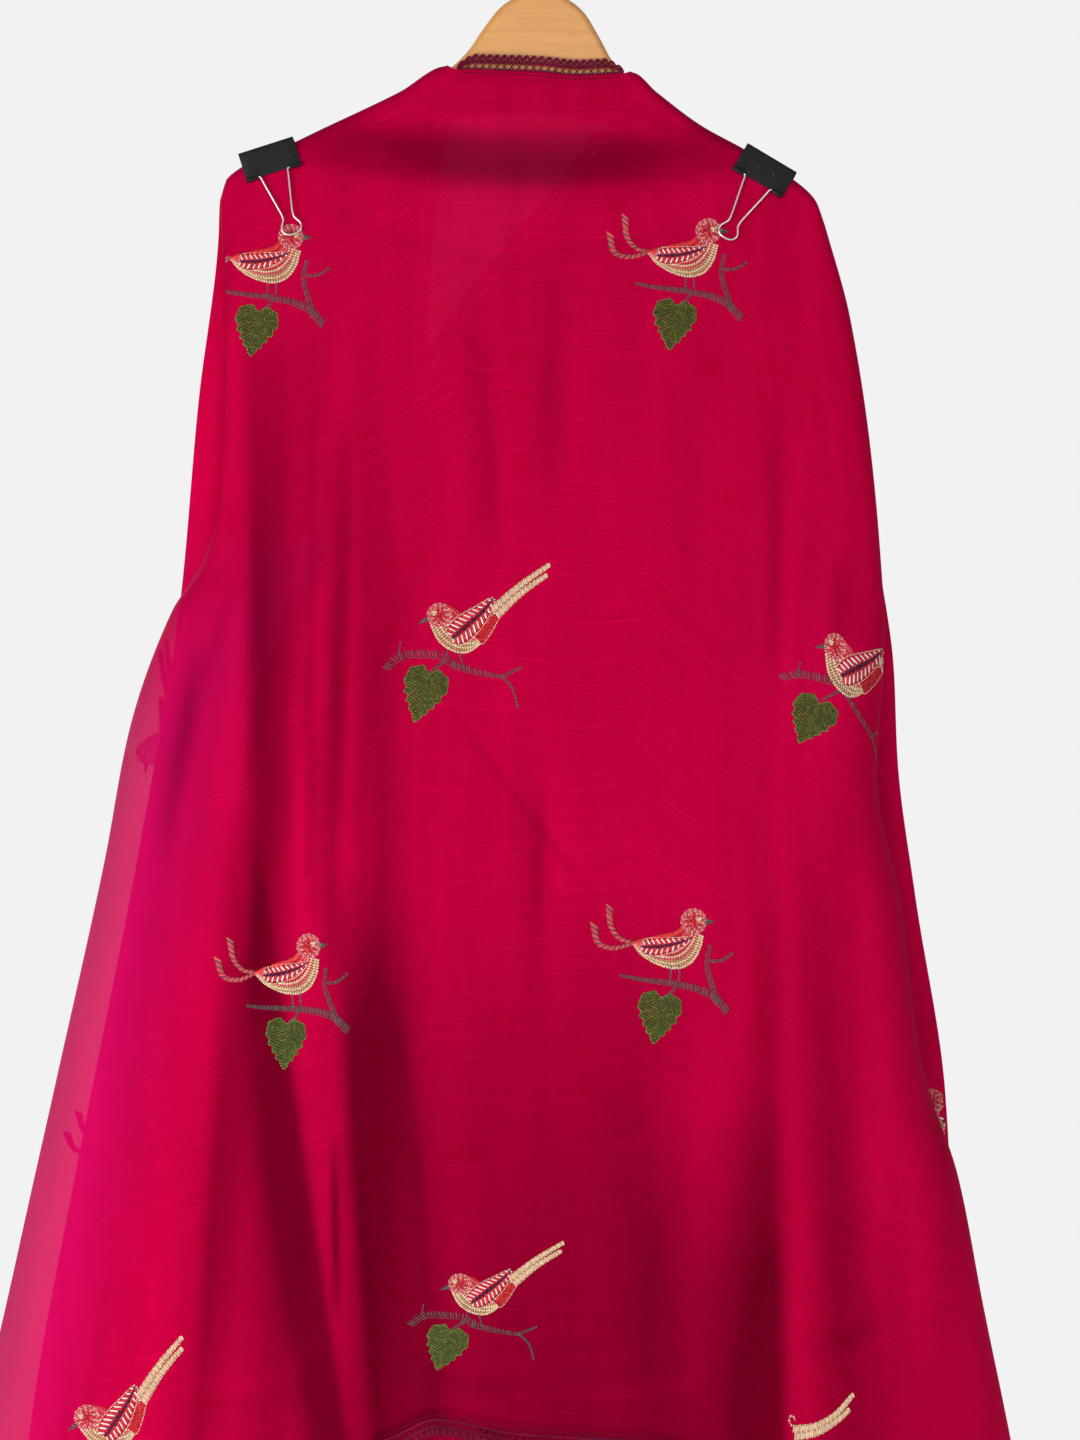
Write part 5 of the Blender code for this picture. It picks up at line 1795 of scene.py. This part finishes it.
@dataclass(frozen=True)
class Seam:
    """Running stitches through the cloth, beside its laced edge."""

    inset: float = 0.0022
    pitch: float = 0.0034
    share: float = 0.66
    radius: float = 0.00042

    def build(self, name: str, band: Band, material: Material) -> Object:
        """The stitches behind one band's edge, as one mesh."""
        skein = Skein(band)
        for start in np.arange(self.pitch / 2, band.length() - self.pitch, self.pitch):
            at = start + np.linspace(0, self.share * self.pitch, 3)
            skein.lay(at, np.full(3, -self.inset), np.zeros(3), self.radius, 4)
        return skein.piece(name, material)


# ---- hanger
def deselect_all() -> None:
    """Leaves nothing selected and nothing active."""
    bpy.ops.object.select_all(action="DESELECT")
    bpy.context.view_layer.objects.active = None


def choose(thing: Object) -> None:
    """Leaves the object alone selected and active."""
    deselect_all()
    bpy.context.view_layer.objects.active = thing
    thing.select_set(True)


def apply_modifiers(thing: Object) -> None:
    """Applies the object's modifiers in order."""
    choose(thing)
    for modifier in list(thing.modifiers):
        bpy.ops.object.modifier_apply(modifier=modifier.name)


def round_edges(thing: Object, width: float, segments: int, degrees: float = 30.0) -> None:
    """Rounds the edges that are sharper than the angle, after any modifier that is there."""
    rim = thing.modifiers.new("Rim", "BEVEL")
    rim.width = width
    rim.segments = segments
    rim.limit_method = "ANGLE"
    rim.angle_limit = math.radians(degrees)
    apply_modifiers(thing)


def apply_place(thing: Object, turn: float = 0.0) -> None:
    """Turns the object about Y and moves its place into its mesh, so that it sits at the origin."""
    choose(thing)
    thing.rotation_euler = (0, turn, 0)
    bpy.ops.object.transform_apply(location=True, rotation=True, scale=True)


def smooth_by_angle(thing: Object, degrees: float) -> None:
    """Smooth shading, except across edges sharper than the angle."""
    choose(thing)
    bpy.ops.object.shade_smooth_by_angle(angle=math.radians(degrees))


def face_outwards(thing: Object, merge: float | None = None) -> None:
    """Turns all faces outwards, after merging points that are closer than a distance."""
    choose(thing)
    bpy.ops.object.mode_set(mode="EDIT")
    bpy.ops.mesh.select_all(action="SELECT")
    if merge:
        bpy.ops.mesh.remove_doubles(threshold=merge)
    bpy.ops.mesh.normals_make_consistent(inside=False)
    bpy.ops.object.mode_set(mode="OBJECT")


def edit_faces(thing: Object, wanted: Callable[[bpy.types.MeshPolygon], bool]) -> None:
    """Goes into edit mode with the wanted faces selected."""
    bpy.ops.object.mode_set(mode="EDIT")
    bpy.ops.mesh.select_all(action="DESELECT")
    bpy.ops.object.mode_set(mode="OBJECT")
    for face in thing.data.polygons:
        face.select = wanted(face)
    bpy.ops.object.mode_set(mode="EDIT")


def bend_wire(name: str, route: Sequence[Place], diameter: float, material: Material) -> Object:
    """A round wire bent along the points of its middle, as a mesh with flat ends."""
    deselect_all()
    bpy.ops.curve.primitive_nurbs_path_add()
    thing = bpy.context.object
    thing.name = name
    curve = thing.data
    curve.splines.clear()
    spline = curve.splines.new("NURBS")
    spline.points.add(len(route) - 1)
    for point, place in zip(spline.points, route):
        point.co = (*place, 1.0)
    spline.use_endpoint_u = True
    spline.order_u = 3
    spline.resolution_u = 6
    curve.bevel_depth = diameter / 2
    curve.bevel_resolution = 4
    curve.use_fill_caps = True
    choose(thing)
    bpy.ops.object.convert(target="MESH")
    thing = bpy.context.object
    face_outwards(thing, merge=1e-6)
    smooth_by_angle(thing, 50.0)
    return dress(thing, material)


@dataclass(frozen=True)
class Hanger:
    """Wooden hanger with a bell-shaped crown and a steel hook."""

    tilt: float = HANGER_TILT
    half_length: float = 0.192
    thickness: float = 0.014
    edge_round: float = 0.005
    edge_segments: int = 5
    crown_top: float = -0.066
    crown_radius: float = 0.042
    crown_sweep: float = math.radians(58)
    bell_flare: tuple[Point, ...] = ((0.0432, -0.0974), (0.051, -0.1104), (0.059, -0.1198))
    root_x: float = 0.0667
    arm_peak: float = -0.089
    arm_slope: float = math.radians(29.75)
    underside_level: float = -0.152
    underside_slope: float = math.radians(20.5)
    underside_shares: Point = (0.35, 0.7)
    tip_round: float = 0.009
    wire: float = 0.0038
    hook_radius: float = 0.018
    hook_join: float = math.radians(-35)
    hook_end: float = math.radians(205)
    hook_stem: float = 0.01
    hook_pulls: Point = (0.009, 0.0126)
    seam: float = 0.0006
    collar_radius: float = 0.0044
    collar_height: float = 0.003
    collar_step: Point = (0.0016, 0.0012)  # inwards and up
    collar_rim: float = 0.0004

    def outline(self) -> list[Point]:
        """The body's outline, right half from the crown down, then the left half back up."""
        half = []
        for angle in np.linspace(0, self.crown_sweep, 22):
            drop = self.crown_radius * (1 - math.cos(angle))
            half.append((self.crown_radius * math.sin(angle), self.crown_top - drop))
        root = (self.root_x, self.arm_peak - self.root_x * math.tan(self.arm_slope))
        beyond = (self.root_x + 0.01, root[1] - 0.01 * math.tan(self.arm_slope))
        bell = table(*[(-level, x) for x, level in (half[-2], half[-1], *self.bell_flare, root, beyond)])
        levels = np.linspace(half[-1][1], root[1], 10)[1:]
        half += [(float(x), float(level)) for x, level in zip(along(bell, -levels), levels)]
        reach = self.half_length - self.tip_round
        top = self.arm_peak - reach * math.tan(self.arm_slope)
        centre = (reach, top - self.tip_round / math.cos(self.arm_slope))
        for angle in np.linspace(math.pi / 2 - self.arm_slope, -math.pi / 2 - self.underside_slope, 18):
            x, level = self.tip_round * math.cos(angle), self.tip_round * math.sin(angle)
            half.append((centre[0] + x, centre[1] + level))
        low_x, low_level = half[-1]
        shares = (0.0, *self.underside_shares, 1.0)
        rises = [(self.underside_level - low_level) * math.sin(share * math.pi / 2) for share in shares]
        underside = table(*zip(shares, rises))
        for share in np.linspace(0, 1, 14)[1:]:
            half.append((low_x * (1 - share), low_level + float(along(underside, share))))
        return half + [(-x, level) for x, level in half[-2:0:-1]]

    def body(self, material: Material) -> Object:
        """The wooden body: an outline face, extruded through and rounded."""
        outline = self.outline()
        deselect_all()
        bpy.ops.mesh.primitive_circle_add(vertices=len(outline), radius=self.half_length, fill_type="NGON")
        thing = bpy.context.object
        thing.name = "hanger_wood"
        for vertex, (x, level) in zip(thing.data.vertices, outline):
            vertex.co = (x, -self.thickness / 2, level)
        bpy.ops.object.mode_set(mode="EDIT")
        bpy.ops.mesh.select_all(action="SELECT")
        bpy.ops.mesh.extrude_region_move(TRANSFORM_OT_translate={"value": (0, self.thickness, 0)})
        bpy.ops.object.mode_set(mode="OBJECT")
        face_outwards(thing)
        round_edges(thing, self.edge_round, self.edge_segments, 60.0)
        apply_place(thing, self.tilt)
        smooth_by_angle(thing, 30.0)
        return dress(thing, material)

    def hook_route(self) -> list[Place]:
        """Up out of the crown, out to the right and round over the rail."""
        centre = self.wire / 2 - self.hook_radius
        base = self.crown_top + self.seam
        start = np.array([0.0, base + self.hook_stem])
        join = self.hook_radius * np.array([math.cos(self.hook_join), math.sin(self.hook_join)])
        meet = join + np.array([0.0, centre])
        heading = np.array([-math.sin(self.hook_join), math.cos(self.hook_join)])
        leave = start + np.array([0.0, self.hook_pulls[0]])
        arrive = meet - heading * self.hook_pulls[1]
        route = [(0.0, base), (0.0, base + self.hook_stem / 2)]
        for t in np.linspace(0, 1, 8)[:-1]:
            u = 1 - t
            route.append(tuple(u**3 * start + 3 * u * u * t * leave + 3 * u * t * t * arrive + t**3 * meet))
        for angle in np.linspace(self.hook_join, self.hook_end, 34):
            route.append((self.hook_radius * math.cos(angle), centre + self.hook_radius * math.sin(angle)))
        cosine, sine = math.cos(self.tilt), math.sin(self.tilt)
        return [(x * cosine + level * sine, 0.0, level * cosine - x * sine) for x, level in route]

    def collar(self, material: Material) -> Object:
        """The small steel collar where the hook leaves the crown."""
        deselect_all()
        bpy.ops.mesh.primitive_cylinder_add(
            vertices=32,
            radius=self.collar_radius,
            depth=self.collar_height,
            location=(0, 0, self.crown_top + self.seam + self.collar_height / 2),
        )
        thing = bpy.context.object
        thing.name = "hook_collar"
        edit_faces(thing, lambda face: face.normal.z > 0.9)
        inwards, up = self.collar_step
        bpy.ops.mesh.inset(thickness=inwards)
        bpy.ops.mesh.extrude_region_move(TRANSFORM_OT_translate={"value": (0, 0, up)})
        bpy.ops.object.mode_set(mode="OBJECT")
        round_edges(thing, self.collar_rim, 3)
        apply_place(thing)
        apply_place(thing, self.tilt)
        smooth_by_angle(thing, 40.0)
        return dress(thing, material)

    def build(self, wood: Material, steel: Material) -> None:
        """The whole hanger."""
        settle(self.body(wood), ["hanger_body"])
        settle(bend_wire("hook_wire", self.hook_route(), self.wire, steel), ["hanger_hook"])
        settle(self.collar(steel), [])


# ---- clips
class ClipSide(Enum):
    """The two faces of a clip, by their direction in depth."""

    near = -1
    far = 1


@dataclass(frozen=True)
class Clip:
    """A folded steel clip with two wire handles, placed by the top of its spine."""

    name: str
    x: float
    level: float
    turn: float
    width: float = 0.041
    face: float = 0.021
    half_gap: float = 0.01025
    steel: float = 0.0005
    corner: float = 0.002
    roll: float = 0.00135
    roll_turn: float = math.radians(280)
    notch_half: float = 0.0116
    inner_column: float = 0.006
    rim: float = 0.00014
    wire: float = 0.0015
    leg: float = 0.0103
    leg_bends: tuple[Point, ...] = ((0.0099, 0.0016), (0.0092, 0.006))
    leg_middle: float = 0.6
    leg_sag: float = 0.4
    neck: float = 0.0033
    neck_drop: float = 0.034
    loop: float = 0.0075
    loop_drop: float = 0.041
    length: float = 0.0465
    pin: float = 0.018
    lean: float = math.radians(1.5)

    def midline(self) -> list[Point]:
        """Middle of the folded steel, from the near roll over the spine to the far roll."""
        near = []
        for angle in np.linspace(-self.roll_turn, 0, 25):
            y, z = self.roll * (math.cos(angle) - 1), self.roll * math.sin(angle)
            near.append((y - self.half_gap, z - self.face))
        near.append((-self.half_gap, -self.face * 0.66))
        near.append((-self.half_gap, -self.face * 0.33))
        for angle in np.linspace(math.pi, math.pi / 2, 7):
            y, z = self.corner * (math.cos(angle) + 1), self.corner * (math.sin(angle) - 1)
            near.append((y - self.half_gap, z - self.steel / 2))
        return near + [(-y, z) for y, z in reversed(near)]

    def shell(self, material: Material) -> Object:
        """The folded sheet: a flat grid bent along the midline, its lips cut, thickened, rounded."""
        line = self.midline()
        half = (self.width / 2, self.notch_half, self.inner_column)
        across = [*(-x for x in half), 0.0, *half[::-1]]
        deselect_all()
        bpy.ops.mesh.primitive_grid_add(
            x_subdivisions=len(across) - 1, y_subdivisions=len(line) - 1, size=self.width
        )
        thing = bpy.context.object
        thing.name = f"{self.name}_shell"
        for i, vertex in enumerate(thing.data.vertices):
            row, column = divmod(i, len(across))
            vertex.co = (across[column], line[row][0], line[row][1])
        lip = -self.face + self.roll * 0.2
        outside = self.half_gap + 0.04 * MM

        def notched(face: bpy.types.MeshPolygon) -> bool:
            """Whether a face of a rolled lip lies in the notch between the handle's pins."""
            x, y, z = face.center
            return abs(x) < self.notch_half and (abs(y) > outside or z < lip)

        edit_faces(thing, notched)
        bpy.ops.mesh.delete(type="FACE")
        bpy.ops.object.mode_set(mode="OBJECT")
        face_outwards(thing)
        wall = thing.modifiers.new("Steel", "SOLIDIFY")
        wall.thickness = self.steel
        wall.offset = 0.0
        round_edges(thing, self.rim, 2, 50.0)
        self.set_down(thing)
        smooth_by_angle(thing, 40.0)
        return dress(thing, material)

    def set_down(self, thing: Object) -> None:
        """Puts a piece made about the clip's own centre on the hanger."""
        thing.location = (self.x, 0, self.level)
        apply_place(thing, self.turn)

    def handle_route(self, side: ClipSide) -> list[Place]:
        """A handle from pin to pin, below the axis of its lip."""
        spread = self.leg - self.neck
        half = [
            (self.pin, 0.0),
            (0.5 * (self.pin + self.leg), 0.0),
            (self.leg + 0.0007, 0.0),
            (self.leg, 0.0003),
            *self.leg_bends,
            (self.neck + self.leg_sag * spread, self.leg_middle * self.neck_drop),
            (self.neck, self.neck_drop),
            (0.75 * self.loop, 0.5 * (self.neck_drop + self.loop_drop)),
            (self.loop, self.loop_drop),
            (0.8 * self.loop, self.length - self.wire),
            (0.4 * self.loop, self.length),
            (0.0, self.length + 0.0002),
        ]
        whole = [(-x, drop) for x, drop in half] + half[-2::-1]
        lean = side.value * math.sin(self.lean)
        out = side.value * (self.half_gap + self.roll)
        return [(x, out + lean * drop, -self.face - math.cos(self.lean) * drop) for x, drop in whole]

    def build(self, paint: Material, steel: Material) -> None:
        """The clip and its two handles, each handle on its own body."""
        settle(self.shell(paint), [self.name])
        for side in ClipSide:
            node = f"{self.name}_{side.name}_handle"
            handle = bend_wire(f"{node}_wire", self.handle_route(side), self.wire, steel)
            self.set_down(handle)
            settle(handle, [node], node)


# ---- stage
@dataclass(frozen=True)
class Studio:
    """Camera, pale floor and soft lights."""

    camera_at: Place = (-0.00576, -2.0, -0.5892)
    lens: float = 69.44
    floor_level: float = -1.46
    floor_half: float = 1.25
    backdrop: float = 0.887
    ambient: float = 0.4

    def camera(self) -> None:
        """A level camera in front of the near face."""
        data = bpy.data.cameras.new("view")
        data.lens = self.lens
        data.sensor_width = 36.0
        data.sensor_fit = "AUTO"
        data.clip_start, data.clip_end = 0.05, 40.0
        thing = bpy.data.objects.new("view", data)
        thing.location = self.camera_at
        thing.rotation_euler = (math.pi / 2, 0, 0)
        bpy.context.scene.collection.objects.link(thing)
        bpy.context.scene.camera = thing

    def floor(self) -> None:
        """A round pale floor below the hem."""
        deselect_all()
        bpy.ops.mesh.primitive_circle_add(
            vertices=96, radius=self.floor_half, fill_type="NGON", location=(0, 0, self.floor_level)
        )
        thing = bpy.context.object
        thing.name = "floor"
        apply_place(thing)
        material, build, shader, _ = new_material("pale_floor")
        tone = build.noise(build.coordinates(), 3.0, 3.0)
        colour = build.blend(tone, (0.78, 0.78, 0.78), (0.84, 0.84, 0.84))
        build.feed(shader, {"Base Color": colour, "Roughness": 0.7})
        dress(thing, material)

    def lamp(self, name: str, place: Place, aim: Place, size: float, power: float) -> None:
        """A soft white square lamp that the camera doesn't see."""
        data = bpy.data.lights.new(name, "AREA")
        data.size = size
        data.energy = power
        thing = bpy.data.objects.new(name, data)
        thing.location = place
        thing.rotation_euler = (Vector(aim) - Vector(place)).to_track_quat("-Z", "Y").to_euler()
        thing.visible_camera = False
        bpy.context.scene.collection.objects.link(thing)

    def world(self) -> None:
        """Plain pale surroundings, dimmer as light than as seen."""
        scene = bpy.context.scene
        scene.world = scene.world or bpy.data.worlds.new("surroundings")
        scene.world.use_nodes = True
        tree = scene.world.node_tree
        tree.nodes.clear()
        build = NodeBuilder(tree)
        seen = build.add("ShaderNodeBackground", {"Color": (*[self.backdrop] * 3, 1.0)})
        light = build.add("ShaderNodeBackground", {"Color": (1.0, 1.0, 1.0, 1.0), "Strength": self.ambient})
        by_camera = build.add("ShaderNodeLightPath").outputs["Is Camera Ray"]
        mixed = build.add("ShaderNodeMixShader", {0: by_camera, 1: light.outputs[0], 2: seen.outputs[0]})
        build.add("ShaderNodeOutputWorld", {"Surface": mixed.outputs[0]}, is_active_output=True)

    def build(self) -> None:
        """Camera, surroundings, floor and lamps."""
        self.camera()
        self.world()
        self.floor()
        self.lamp("key", (-1.25, -1.3, -0.85), (-0.1, 0.0, -0.75), 1.1, 30.0)
        self.lamp("side", (1.35, -1.2, -0.95), (0.25, 0.0, -0.8), 1.1, 8.0)
        self.lamp("front", (0.0, -2.4, 0.3), (0.0, 0.0, -0.65), 1.5, 8.0)
        self.lamp("back", (-0.9, 1.7, -0.2), (-0.2, 0.0, -0.7), 1.5, 20.0)
        scene = bpy.context.scene
        scene.view_settings.view_transform = "Standard"
        scene.view_settings.look = "None"


CLIPS = (
    Clip("left_clip", -0.2027, -0.177, math.radians(-17.8)),
    Clip("right_clip", 0.1609, -0.186, math.radians(30.8)),
)


def main() -> None:
    """Builds the studio and every piece of the stole, and reports them."""
    logging.basicConfig(level=logging.INFO, format="%(name)s: %(message)s")
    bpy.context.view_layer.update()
    Studio().build()
    steel = BRIGHT_STEEL.make()
    Hanger().build(Wood().make(), steel)
    paint = BLACK_PAINT.make()
    for clip in CLIPS:
        clip.build(paint, steel)
    cloth = Cloth(Drape(), Silk().make())
    cloth.build()
    floss = Floss().make()
    faces = FacesOfCloth(cloth.drape)
    for name, face, birds in (
        ("near", faces.near(), NEAR_BIRDS),
        ("left_end", faces.end(LEFT), LEFT_END_BIRDS),
        ("right_end", faces.end(RIGHT), RIGHT_END_BIRDS),
        ("left_layer", faces.layer(LEFT, 1), LEFT_LAYER_BIRDS),
        ("right_layer", faces.layer(RIGHT, 1), RIGHT_LAYER_BIRDS),
        ("right_fold", faces.layer(RIGHT, 2), RIGHT_FOLD_BIRDS),
    ):
        stitches = Embroidery(face).build(f"{name}_birds", birds, floss, 100 + 20 * len(name))
        settle(stitches, [])
    thread, cotton = LACE_THREAD.make(), SEAM_THREAD.make()
    for node, band in cloth.bands().items():
        settle(Lace().build(f"{node}_thread", band, thread), [node])
        settle(Seam().build(f"{node}_seam", band, cotton), [])


if __name__ == "__main__":
    main()
